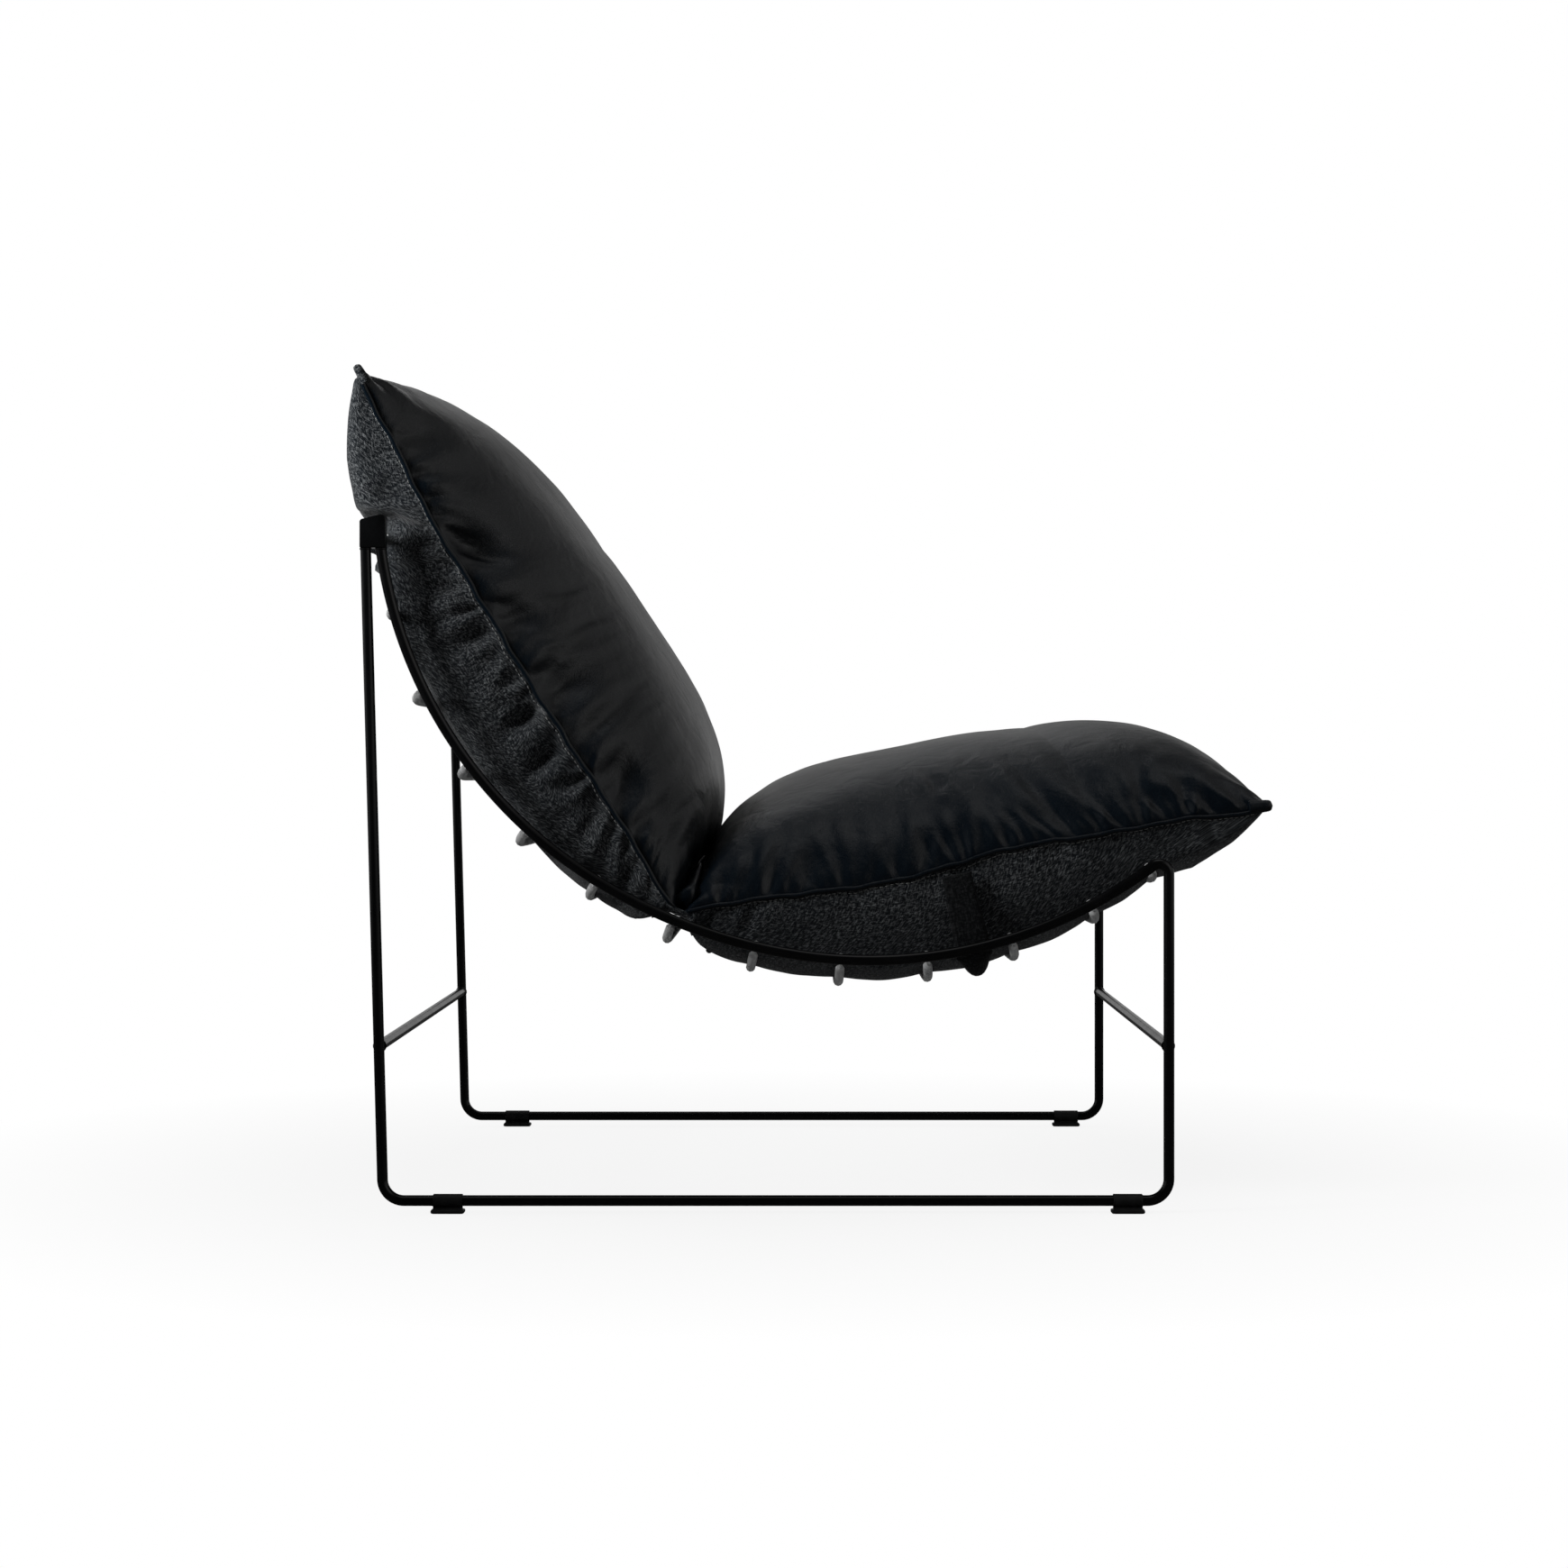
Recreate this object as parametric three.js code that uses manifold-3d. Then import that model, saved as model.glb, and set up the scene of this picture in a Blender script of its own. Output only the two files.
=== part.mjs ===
// A lounge chair: two loose pillows, leather in front and woven fabric behind, lie in a sling of
// steel tension springs that runs between two closed loops of bent round steel rod.
// Millimetres, +Z up. The sitter faces -Y, X is the width, and the floor is at Z = 0.
import * as THREE from "three";
import { mergeVertices } from "three/addons/utils/BufferGeometryUtils.js";
import Module from "manifold-3d";

const wasm = await Module();
wasm.setup();

// Frame: the rod, the sling rail's arcs from the top down, the legs and the floor runner.
const ROD_DIAMETER = 10;
const FRAME_WIDTH = 700; // between the centre lines of the two loops
const RAIL_TOP_HEIGHT = 611;
const RAIL_TOP_LEAN = THREE.MathUtils.degToRad(8.2);
const BACK_ARC_RADIUS = 429;
const BACK_ARC_ANGLE = THREE.MathUtils.degToRad(49.6);
const SEAT_ARC_RADIUS = 494;
const SEAT_ARC_ANGLE = THREE.MathUtils.degToRad(24.4);
const FRONT_ARC_RADIUS = 438;
const FRONT_ARC_ANGLE = THREE.MathUtils.degToRad(44.6);
const FRONT_TOP_RADIUS = 9;
const FLOOR_BEND_RADIUS = 20;
const REAR_LEG_LEAN = THREE.MathUtils.degToRad(1.53);
const LEG_TO_RAIL = 14.3; // between the rear leg and the rail, under the block that joins them
const RAIL_TIP_RADIUS = 25;
const LOWER_BAR_HEIGHT = 154;
const JOINT_GAP = 0.3; // what parts two pieces that touch

// Block at the top of each loop, where the rod's two ends meet.
const BLOCK_CLEAR = 0.5;
const BLOCK_HEIGHT = 31;
const BLOCK_WIDTH = 12;
const BLOCK_SLOPE = 5.5;
const BLOCK_CORNER = 4;

// Glides: clips that close round the runner and carry a wider sole.
const SOLE_DROP = 6.4; // from the rod's underside to the floor
const GLIDE_LENGTH = 31;
const CLIP_LENGTH = 27;
const CLIP_WALL = 0.9;
const CLIP_MOUTH = THREE.MathUtils.degToRad(25);
const SOLE_WIDTH = 17;
const SOLE_THICKNESS = 3.2;
const REAR_GLIDE_PLACE = 60; // from the rear leg's foot to the middle of the glide
const FRONT_GLIDE_PLACE = 38;

// Tension springs and the welded studs that their end eyes hang on.
const SPRING_DIAMETER = 9;
const SPRING_WIRE = 2;
const EVEN_SPRINGS = 11; // at one pitch, and one more follows at the front bend
const FIRST_SPRING = 54.5;
const LAST_SPRING_BACKSET = 4;
const LAST_SPRING_INTERVAL = 64;
const SPRING_SAG = 28.4; // of the spring that the sitter's weight line meets
const SPRING_SAG_SHARES = [0.4, 0.66, 0.68, 0.74, 0.78, 0.9, 0.95, 1, 0.96, 0.88, 0.77, 0.56];
const SAG_WRAP = 30; // how far in from the rail the cushion's rounded edge presses a spring down
const STUD_DIAMETER = 5;
const STUD_LENGTH = 9;
const STUD_HEAD = 7.6;
const STUD_HEAD_THICKNESS = 1.4;
const EYE_CLEARANCE = 0.4;
const EYE_PLACE = 4.4; // from the rod's side to the middle of the eye
const SPRING_BODY_START = 12.5;
const SPRING_RING_SHARES = [0, 0.3, 0.55, 0.72, 0.83, 0.9, 0.95, 1]; // closer where it bends

// Pillows: their reach along the sling, thickness and covers.
const CUSHION_CLEARANCE = 7; // between the seam and the rails
const SIDE_DRAW_IN = 8; // the seam is drawn in by this between two corners
const EDGE_DRAW_IN = 11;
const ABOVE_RAIL = 171; // how far the back pillow reaches past the rail's top
const CREASE_SPRING = 5; // the pillows meet over this spring, counted from nought at the top
const CREASE_FORWARD = 1.5;
const CREASE_GAP = 10.6;
const BEYOND_RAIL = 124; // how far the seat pillow reaches past the rail's front end
const OVERHANG_DROOP = THREE.MathUtils.degToRad(20);
const BACK_CROWN = 209; // from the rail's centre line to the top of the leather
const SEAT_CROWN = 196;
const BELLY_BULGE = 26;
const COVER = 2.2;
const COVER_GAP = 0.9;
const SEAM_GAP = 0.4;
const REST_GAP = 0.6; // between the cushion and the springs
const PIPING_DIAMETER = 4.5;
const PIPING_GAP = 0.5;
const PIPING_BREAK = 1;

// Fabric tunnel that hangs the cushion on the top bar, straps that hold its sides, and zips.
const TUNNEL_RADIUS = 10;
const TUNNEL_WALL = 1.8;
const TUNNEL_END = 65; // from each rail's inner side
const TUNNEL_HEIGHT = 16.5; // of its centre above the rail's top
const STRAP_WIDTH = 33;
const STRAP_THICKNESS = 2;
const STRAP_SPRING = 9; // the strap sits before this spring
const STRAP_BACKSET = 36.5;
const STRAP_RISE = 58;
const STRAP_DROP = 25;
const STRAP_TUCK = 24;
const CREASE_STRIP_WIDTH = 12.6; // joins the two pillows under their piping
const CREASE_STRIP_THICKNESS = 1.6;
const CREASE_STRIP_END = 35;
const ZIP_WIDTH = 7;
const ZIP_THICKNESS = 1.2;
const ZIP_END = 115;
const ZIP_TO_CREASE = 42;

// Pillow outlines, each point as a share of the pillow's length and of its crown.
const BACK_SEAM_SHARES = [
  [0, 0.01], [0.021, 0.024], [0.046, 0.048], [0.085, 0.087], [0.133, 0.137], [0.178, 0.182],
  [0.21, 0.21], [0.229, 0.228], [0.246, 0.246], [0.264, 0.268], [0.29, 0.297], [0.354, 0.354],
  [0.442, 0.4], [0.538, 0.417], [0.642, 0.409], [0.746, 0.367], [0.842, 0.292], [0.922, 0.19],
  [0.97, 0.1], [1, 0.053],
];
const BACK_CROWN_SHARES = [
  [0, 0.04], [-0.006, 0.155], [0.008, 0.297], [0.042, 0.435], [0.09, 0.57], [0.14, 0.675],
  [0.188, 0.756], [0.22, 0.81], [0.252, 0.856], [0.28, 0.89], [0.316, 0.923], [0.38, 0.962],
  [0.454, 0.986], [0.544, 1], [0.642, 0.995], [0.74, 0.962], [0.838, 0.89], [0.94, 0.74],
  [1.0076, 0.46], [1, 0.053],
];
const BACK_BELLY_SHARES = [
  [0, 0.04], [0.006, -0.01], [0.024, -0.058], [0.066, -0.1], [0.118, -0.124], [0.16, -0.122],
  [0.194, -0.1], [0.209, -0.034], [0.221, -0.0077], [0.246, -0.0077], [0.288, -0.04], [0.354, -0.14],
  [0.442, -0.14], [0.538, -0.14], [0.642, -0.14], [0.746, -0.14], [0.842, -0.14], [0.922, -0.12],
  [0.97, -0.06], [1, 0.053],
];
const SEAT_SEAM_SHARES = [
  [0, 0.053], [0.03, 0.115], [0.08, 0.185], [0.15, 0.26], [0.23, 0.315], [0.31, 0.352],
  [0.39, 0.38], [0.47, 0.4], [0.55, 0.405], [0.63, 0.375], [0.705, 0.31], [0.772, 0.235],
  [0.802, 0.195], [0.845, 0.136], [0.89, 0.08], [0.935, 0.03], [0.97, 0.004], [1, 0],
];
const SEAT_CROWN_SHARES = [
  [0, 0.053], [-0.0081, 0.49], [0.055, 0.718], [0.13, 0.845], [0.21, 0.92], [0.29, 0.967],
  [0.37, 0.991], [0.45, 1], [0.53, 0.999], [0.61, 0.98], [0.68, 0.945], [0.745, 0.888],
  [0.79, 0.835], [0.84, 0.752], [0.885, 0.652], [0.94, 0.51], [0.98, 0.32], [1, 0.02],
];
const SEAT_BELLY_SHARES = [
  [0, 0.053], [0.03, -0.08], [0.08, -0.15], [0.15, -0.15], [0.23, -0.15], [0.31, -0.15],
  [0.39, -0.15], [0.47, -0.15], [0.55, -0.15], [0.63, -0.15], [0.71, -0.15], [0.787, -0.15],
  [0.817, -0.15], [0.855, -0.13], [0.89, -0.12], [0.935, -0.09], [0.98, -0.04], [1, 0.02],
];
const FRONT_ROW_SHARE = 0.018; // rows lie this far before and after the front spring
const FIRST_ROW_LEAD = 40; // the first spring presses on rows from here on
const LEATHER_ACROSS = { power: 2.4, root: 0.6 };
const FABRIC_ACROSS = { power: 8, root: 0.125 };
const COLUMNS = 10;

const ROD_SIDES = 8;
const SPRING_SIDES = 6;
const WIRE_SIDES = 5;
const WELD_REACH = 1e-4; // points nearer than this are one point
const rodRadius = ROD_DIAMETER / 2;
const halfFrame = FRAME_WIDTH / 2;
const railInside = halfFrame - rodRadius;
const runnerHeight = SOLE_DROP + rodRadius;
const springRadius = SPRING_DIAMETER / 2;
const wireRadius = SPRING_WIRE / 2;
const LEFT = 1;
const RIGHT = -1;
const SIDES = { right: RIGHT, left: LEFT };

// Materials, one for each finish on the chair.
function finish(color, roughness, metalness) {
  return new THREE.MeshStandardMaterial({ color, roughness, metalness });
}
const steelBlack = finish(0x0c0d10, 0.38, 0.4);
const springSteel = finish(0x8b8d8f, 0.35, 0.9);
const plasticBlack = finish(0x0b0b0c, 0.5, 0);
const leatherBlack = finish(0x101214, 0.36, 0);
const fabricCharcoal = finish(0x2c3034, 0.95, 0);
const fillingWhite = finish(0xe6e2d8, 1, 0);
const zipBlack = finish(0x15161a, 0.5, 0.2);

const chair = new THREE.Group();

function addPiece(name, geometry, material) {
  const piece = new THREE.Mesh(geometry, material);
  piece.name = name;
  chair.add(piece);
}

// A solid of the library that joins and cuts, and the way back.
function toSolid(geometry) {
  const bare = geometry.clone();
  bare.deleteAttribute("normal");
  bare.deleteAttribute("uv");
  const merged = mergeVertices(bare, WELD_REACH);
  const mesh = new wasm.Mesh({
    numProp: 3,
    vertProperties: merged.attributes.position.array,
    triVerts: new Uint32Array(merged.index.array),
  });
  return new wasm.Manifold(mesh);
}

function fromSolid(solid) {
  const mesh = solid.getMesh();
  const geometry = new THREE.BufferGeometry();
  geometry.setAttribute("position", new THREE.BufferAttribute(mesh.vertProperties, 3));
  geometry.setIndex(new THREE.BufferAttribute(mesh.triVerts, 1));
  geometry.computeVertexNormals();
  return geometry;
}

// A path that a section follows with one ring at each of its points.
class PointPath extends THREE.Curve {
  constructor(points) {
    super();
    this.points = points;
  }

  indexAt(t) {
    return Math.round(t * (this.points.length - 1));
  }

  getPoint(t) {
    return this.points[this.indexAt(t)].clone();
  }

  getPointAt(t) {
    return this.getPoint(t);
  }

  getTangent(t) {
    const i = this.indexAt(t);
    const before = this.points[Math.max(i - 1, 0)];
    const after = this.points[Math.min(i + 1, this.points.length - 1)];
    const here = this.points[i];
    const into = here.clone().sub(before).normalize();
    const outOf = after.clone().sub(here).normalize();
    return into.add(outOf).normalize();
  }

  getTangentAt(t) {
    return this.getTangent(t);
  }
}

function roundSection(radius, sides) {
  const corners = [];
  for (let i = 0; i < sides; i++) {
    const angle = (2 * Math.PI * (i + 0.5)) / sides;
    corners.push(new THREE.Vector2(radius * Math.cos(angle), radius * Math.sin(angle)));
  }
  return new THREE.Shape(corners);
}

function sweep(section, points) {
  const extrudePath = new PointPath(points);
  return new THREE.ExtrudeGeometry(section, { steps: points.length - 1, extrudePath });
}

function rod(points, radius, sides) {
  return sweep(roundSection(radius, sides), points);
}

// A pen that draws lines and arcs in the side plane: y runs to the rear, z up.
class Pen {
  constructor(y, z, heading) {
    this.y = y;
    this.z = z;
    this.heading = heading;
    this.trace = [[y, z]];
  }

  line(length) {
    this.y += length * Math.cos(this.heading);
    this.z += length * Math.sin(this.heading);
    this.trace.push([this.y, this.z]);
    return this;
  }

  arc(radius, turn, steps) {
    const step = turn / steps;
    const chord = 2 * radius * Math.sin(Math.abs(step) / 2);
    for (let i = 0; i < steps; i++) {
      this.heading += step / 2;
      this.y += chord * Math.cos(this.heading);
      this.z += chord * Math.sin(this.heading);
      this.heading += step / 2;
      this.trace.push([this.y, this.z]);
    }
    return this;
  }
}

// The sling line: the rail's arcs, with a straight stretch above them and a drooping one in front.
const railStart = { y: 0, z: RAIL_TOP_HEIGHT, heading: -Math.PI / 2 - RAIL_TOP_LEAN };
const overhangRadius = BEYOND_RAIL / OVERHANG_DROOP;
const slingArcs = [
  { radius: BACK_ARC_RADIUS, turn: -BACK_ARC_ANGLE },
  { radius: SEAT_ARC_RADIUS, turn: -SEAT_ARC_ANGLE },
  { radius: FRONT_ARC_RADIUS, turn: -FRONT_ARC_ANGLE },
  { radius: overhangRadius, turn: OVERHANG_DROOP },
];
const railLength = BACK_ARC_RADIUS * BACK_ARC_ANGLE + SEAT_ARC_RADIUS * SEAT_ARC_ANGLE
  + FRONT_ARC_RADIUS * FRONT_ARC_ANGLE;

// The place and heading of the sling line at a distance from the rail's top.
function slingAt(along) {
  const pen = new Pen(railStart.y, railStart.z, railStart.heading);
  if (along <= 0) {
    return pen.line(along);
  }
  let left = along;
  for (const [i, { radius, turn }] of slingArcs.entries()) {
    const length = radius * Math.abs(turn);
    const last = i === slingArcs.length - 1;
    const part = last ? left : Math.min(left, length);
    pen.arc(radius, (turn * part) / length, 1);
    left -= part;
    if (left <= 0) {
      break;
    }
  }
  return pen;
}

// A point given across the chair, along the sling and above the sling line.
function slingPoint(x, along, rise) {
  const place = slingAt(along);
  const upY = Math.sin(place.heading);
  const upZ = -Math.cos(place.heading);
  return new THREE.Vector3(x, place.y + upY * rise, place.z + upZ * rise);
}

// Side loops: rail, front leg, runner and rear leg are one bent rod.
function spaced(start, end, steps) {
  return Array.from({ length: steps + 1 }, (_, i) => start + ((end - start) * i) / steps);
}

const blockBottom = railStart.z + RAIL_TIP_RADIUS * Math.sin(RAIL_TOP_LEAN) + BLOCK_CLEAR;
const railTipY = railStart.y + RAIL_TIP_RADIUS * (1 - Math.cos(RAIL_TOP_LEAN));
const legTopY = railTipY + LEG_TO_RAIL;

function legYAt(z) {
  return legTopY - (blockBottom - z) * Math.tan(REAR_LEG_LEAN);
}

function loopTrace() {
  const pen = new Pen(railTipY, blockBottom - BLOCK_CLEAR, -Math.PI / 2);
  pen.arc(RAIL_TIP_RADIUS, -RAIL_TOP_LEAN, 2);
  pen.arc(BACK_ARC_RADIUS, -BACK_ARC_ANGLE, 11);
  pen.arc(SEAT_ARC_RADIUS, -SEAT_ARC_ANGLE, 6);
  pen.arc(FRONT_ARC_RADIUS, -FRONT_ARC_ANGLE, 10);
  pen.arc(FRONT_TOP_RADIUS, -Math.PI / 2 - pen.heading, 8);
  pen.line(pen.z - runnerHeight - FLOOR_BEND_RADIUS);
  pen.arc(FLOOR_BEND_RADIUS, Math.PI / 2, 6);
  const rearTurn = Math.PI / 2 - REAR_LEG_LEAN;
  const tangent = FLOOR_BEND_RADIUS * Math.tan(rearTurn / 2);
  pen.line(legYAt(runnerHeight) - tangent - pen.y);
  pen.arc(FLOOR_BEND_RADIUS, rearTurn, 6);
  const endTilt = rodRadius * Math.sin(REAR_LEG_LEAN);
  pen.line((blockBottom - JOINT_GAP - endTilt - pen.z) / Math.cos(REAR_LEG_LEAN));
  return pen.trace;
}

const loopPoints = loopTrace();
const frontLegY = Math.min(...loopPoints.map(([y]) => y));

const lastSpring = railLength - LAST_SPRING_BACKSET;
const springPlaces = [
  ...spaced(FIRST_SPRING, lastSpring - LAST_SPRING_INTERVAL, EVEN_SPRINGS - 1),
  lastSpring,
];

// How far a spring lies below the rail's centre line: even shares from the first spring to the last.
function springSag(place, x) {
  const steps = SPRING_SAG_SHARES.length - 1;
  const at = THREE.MathUtils.mapLinear(place, springPlaces[0], lastSpring, 0, steps);
  const from = THREE.MathUtils.clamp(Math.floor(at), 0, steps - 1);
  const part = THREE.MathUtils.clamp(at - from, 0, 1);
  const share = THREE.MathUtils.lerp(SPRING_SAG_SHARES[from], SPRING_SAG_SHARES[from + 1], part);
  const inside = Math.max(railInside - Math.abs(x), 0);
  return SPRING_SAG * share * (1 - Math.exp(-inside / SAG_WRAP));
}

const creasePlace = springPlaces[CREASE_SPRING] + CREASE_FORWARD;
const strapPlace = springPlaces[STRAP_SPRING] - STRAP_BACKSET;
const cushionHalf = railInside - CUSHION_CLEARANCE;

function acrossLine(axis, from, to) {
  return [new THREE.Vector3(from, axis.y, axis.z), new THREE.Vector3(to, axis.y, axis.z)];
}

function stud(side, place) {
  const axis = slingPoint(0, place, 0);
  const end = side * (railInside - STUD_LENGTH);
  const shank = rod(acrossLine(axis, side * halfFrame, end), STUD_DIAMETER / 2, SPRING_SIDES);
  const headLine = acrossLine(axis, end + side * STUD_HEAD_THICKNESS, end);
  const head = rod(headLine, STUD_HEAD / 2, SPRING_SIDES);
  return toSolid(shank).add(toSolid(head));
}

function sideLoop(side) {
  const points = loopPoints.map(([y, z]) => new THREE.Vector3(side * halfFrame, y, z));
  let solid = toSolid(rod(points, rodRadius, ROD_SIDES));
  for (const place of springPlaces) {
    solid = solid.add(stud(side, place));
  }
  return fromSolid(solid);
}

// The block's outline follows the outer edges of the two rods under it.
function topBlock(side) {
  const front = railTipY - rodRadius;
  const rear = legTopY + rodRadius;
  const top = blockBottom + BLOCK_HEIGHT;
  const outline = new THREE.Shape([
    new THREE.Vector2(front, blockBottom),
    new THREE.Vector2(rear, blockBottom),
    new THREE.Vector2(rear, top - BLOCK_SLOPE),
    new THREE.Vector2(front + BLOCK_CORNER, top),
    new THREE.Vector2(front, top - BLOCK_CORNER),
  ]);
  const geometry = new THREE.ExtrudeGeometry(outline, { depth: BLOCK_WIDTH, bevelEnabled: false });
  geometry.translate(0, 0, -BLOCK_WIDTH / 2);
  geometry.rotateX(Math.PI / 2);
  geometry.rotateZ(Math.PI / 2);
  geometry.translate(side * halfFrame, 0, 0);
  return geometry;
}

// Crossbars: the top one butts against the blocks, the lower ones are coped round the legs.
const tunnelCentre = { z: RAIL_TOP_HEIGHT + TUNNEL_HEIGHT };
tunnelCentre.y = legYAt(tunnelCentre.z);
const topBarDrop = TUNNEL_RADIUS - TUNNEL_WALL - rodRadius - JOINT_GAP;

function topBar() {
  const axis = { y: tunnelCentre.y, z: tunnelCentre.z + topBarDrop };
  const reach = halfFrame - BLOCK_WIDTH / 2 - JOINT_GAP;
  return rod(acrossLine(axis, -reach, reach), rodRadius, ROD_SIDES);
}

function lowerBar(y, lean) {
  const line = acrossLine({ y, z: LOWER_BAR_HEIGHT }, -halfFrame, halfFrame);
  const rise = 2 * ROD_DIAMETER;
  let solid = toSolid(rod(line, rodRadius, ROD_SIDES));
  for (const side of [RIGHT, LEFT]) {
    const x = side * halfFrame;
    const foot = new THREE.Vector3(x, y - rise * Math.tan(lean), LOWER_BAR_HEIGHT - rise);
    const head = new THREE.Vector3(x, y + rise * Math.tan(lean), LOWER_BAR_HEIGHT + rise);
    solid = solid.subtract(toSolid(rod([foot, head], rodRadius + JOINT_GAP, 2 * ROD_SIDES)));
  }
  const [longest] = solid.decompose().sort((a, b) => b.volume() - a.volume());
  return fromSolid(longest);
}

// A glide's section round the rod: a clip with its mouth at the top, on a flared sole.
function clipSection(outer, inner) {
  const shape = new THREE.Shape();
  const start = Math.PI / 2 - CLIP_MOUTH;
  const steps = 8;
  const ring = (radius, from, to) => spaced(from, to, steps).map(
    (angle) => new THREE.Vector2(radius * Math.cos(angle), radius * Math.sin(angle)));
  const outside = ring(outer, start, start - 2 * (Math.PI - CLIP_MOUTH));
  const inside = ring(inner, start - 2 * (Math.PI - CLIP_MOUTH), start);
  shape.setFromPoints([...outside, ...inside]);
  return shape;
}

function glide(side, y) {
  const inner = rodRadius + JOINT_GAP;
  const clip = new THREE.ExtrudeGeometry(clipSection(inner + CLIP_WALL, inner), {
    depth: CLIP_LENGTH,
    bevelEnabled: false,
  });
  clip.translate(0, 0, -CLIP_LENGTH / 2);
  clip.rotateX(Math.PI / 2);
  clip.translate(0, 0, runnerHeight);
  const half = SOLE_WIDTH / 2;
  const neckTop = runnerHeight - inner - CLIP_WALL / 2;
  const sole = new THREE.BoxGeometry(SOLE_WIDTH, GLIDE_LENGTH, SOLE_THICKNESS);
  sole.translate(0, 0, SOLE_THICKNESS / 2);
  const neck = new THREE.Shape([
    new THREE.Vector2(-half, 0),
    new THREE.Vector2(half, 0),
    new THREE.Vector2(inner, neckTop - SOLE_THICKNESS / 2),
    new THREE.Vector2(-inner, neckTop - SOLE_THICKNESS / 2),
  ]);
  const web = new THREE.ExtrudeGeometry(neck, { depth: CLIP_LENGTH, bevelEnabled: false });
  web.translate(0, 0, -CLIP_LENGTH / 2);
  web.rotateX(Math.PI / 2);
  web.translate(0, 0, SOLE_THICKNESS / 2);
  const solid = toSolid(clip).add(toSolid(sole)).add(toSolid(web));
  const geometry = fromSolid(solid);
  geometry.translate(side * halfFrame, y, 0);
  return geometry;
}

// A spring: a close-wound body as a tube of its outer size, and an eye on each end round a stud.
function springPoint(place, x) {
  return slingPoint(x, place, -springSag(place, x));
}

function springBody(place) {
  const reach = railInside - SPRING_BODY_START;
  const half = SPRING_RING_SHARES.map((share) => share * reach);
  const xs = [...half.slice(1).reverse().map((x) => -x), ...half];
  return rod(xs.map((x) => springPoint(place, x)), springRadius, SPRING_SIDES);
}

function springEye(side, place) {
  const centre = slingPoint(side * (railInside - EYE_PLACE), place, 0);
  const reach = STUD_DIAMETER / 2 + EYE_CLEARANCE + wireRadius;
  const ring = new THREE.TorusGeometry(reach, wireRadius, 4, 8);
  ring.rotateY(Math.PI / 2);
  ring.translate(centre.x, centre.y, centre.z);
  const bodyEnd = springPoint(place, side * (railInside - SPRING_BODY_START));
  const foot = slingPoint(centre.x, place, -reach);
  const inBody = springPoint(place, side * (railInside - SPRING_BODY_START - SPRING_DIAMETER));
  const underHead = STUD_HEAD / 2 + EYE_CLEARANCE + wireRadius;
  const knee = slingPoint(side * (railInside - STUD_LENGTH + STUD_HEAD_THICKNESS), place, -underHead);
  const neck = rod([foot, knee, bodyEnd, inBody], wireRadius, WIRE_SIDES);
  return toSolid(ring).add(toSolid(neck));
}

function spring(place) {
  const solid = toSolid(springBody(place)).add(springEye(RIGHT, place)).add(springEye(LEFT, place));
  return fromSolid(solid);
}

// Pillows. A pillow's surface is found from its row, down its length, and its column, across it.
function across(u, { power, root }) {
  return Math.max(1 - Math.abs(u) ** power, 0) ** root;
}

// Moves the two rows nearest to a share to either side of it.
function straddle(rows, share) {
  const after = rows.findIndex(([place]) => place > share);
  const moved = rows.map((row) => [...row]);
  const rowAt = (place) => {
    const next = rows.findIndex(([there]) => there > place);
    const [from, to] = [rows[next - 1], rows[next]];
    return THREE.MathUtils.mapLinear(place, from[0], to[0], from[1], to[1]);
  };
  const near = share - rows[after - 1][0] < rows[after][0] - share ? after - 1 : after;
  const first = near === after ? after - 1 : near;
  moved[first] = [share - FRONT_ROW_SHARE, rowAt(share - FRONT_ROW_SHARE)];
  moved[first + 1] = [share + FRONT_ROW_SHARE, rowAt(share + FRONT_ROW_SHARE)];
  return moved;
}

const seatStart = creasePlace + CREASE_GAP / 2;
const seatLength = railLength + BEYOND_RAIL - seatStart;
const pillows = {
  back: {
    start: -ABOVE_RAIL,
    length: ABOVE_RAIL + creasePlace - CREASE_GAP / 2,
    crown: BACK_CROWN,
    seam: BACK_SEAM_SHARES,
    top: BACK_CROWN_SHARES,
    belly: BACK_BELLY_SHARES,
    drawn: [EDGE_DRAW_IN, 0],
  },
  seat: {
    start: seatStart,
    length: seatLength,
    crown: SEAT_CROWN,
    seam: straddle(SEAT_SEAM_SHARES, (lastSpring - seatStart) / seatLength),
    top: SEAT_CROWN_SHARES,
    belly: straddle(SEAT_BELLY_SHARES, (lastSpring - seatStart) / (seatLength - EDGE_DRAW_IN)),
    drawn: [0, EDGE_DRAW_IN],
  },
};

function seamSlope(pillow, row) {
  const before = pillow.seam[Math.max(row - 1, 0)];
  const after = pillow.seam[Math.min(row + 1, pillow.seam.length - 1)];
  return ((after[1] - before[1]) * pillow.crown) / ((after[0] - before[0]) * pillow.length);
}

// A row's width, and its places on the side seam and on the middle of the face.
function rowOf(pillow, face, row, inset) {
  const run = pillow.length - pillow.drawn[0] - pillow.drawn[1];
  const [seamAlong, seamRise] = pillow.seam[row];
  const [faceAlong, faceRise] = pillow[face][row];
  const pull = inset * (1 - 2 * seamAlong);
  const bow = 4 * seamAlong * (1 - seamAlong);
  const slope = seamSlope(pillow, row);
  return {
    pull,
    half: cushionHalf - SIDE_DRAW_IN * bow - inset,
    side: {
      along: pillow.start + seamAlong * pillow.length + pull,
      rise: seamRise * pillow.crown + pull * slope,
    },
    face: {
      along: pillow.start + pillow.drawn[0] + faceAlong * run + pull,
      rise: faceRise * pillow.crown + (row === 0 || row === pillow.seam.length - 1 ? pull * slope : 0),
    },
  };
}

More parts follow.
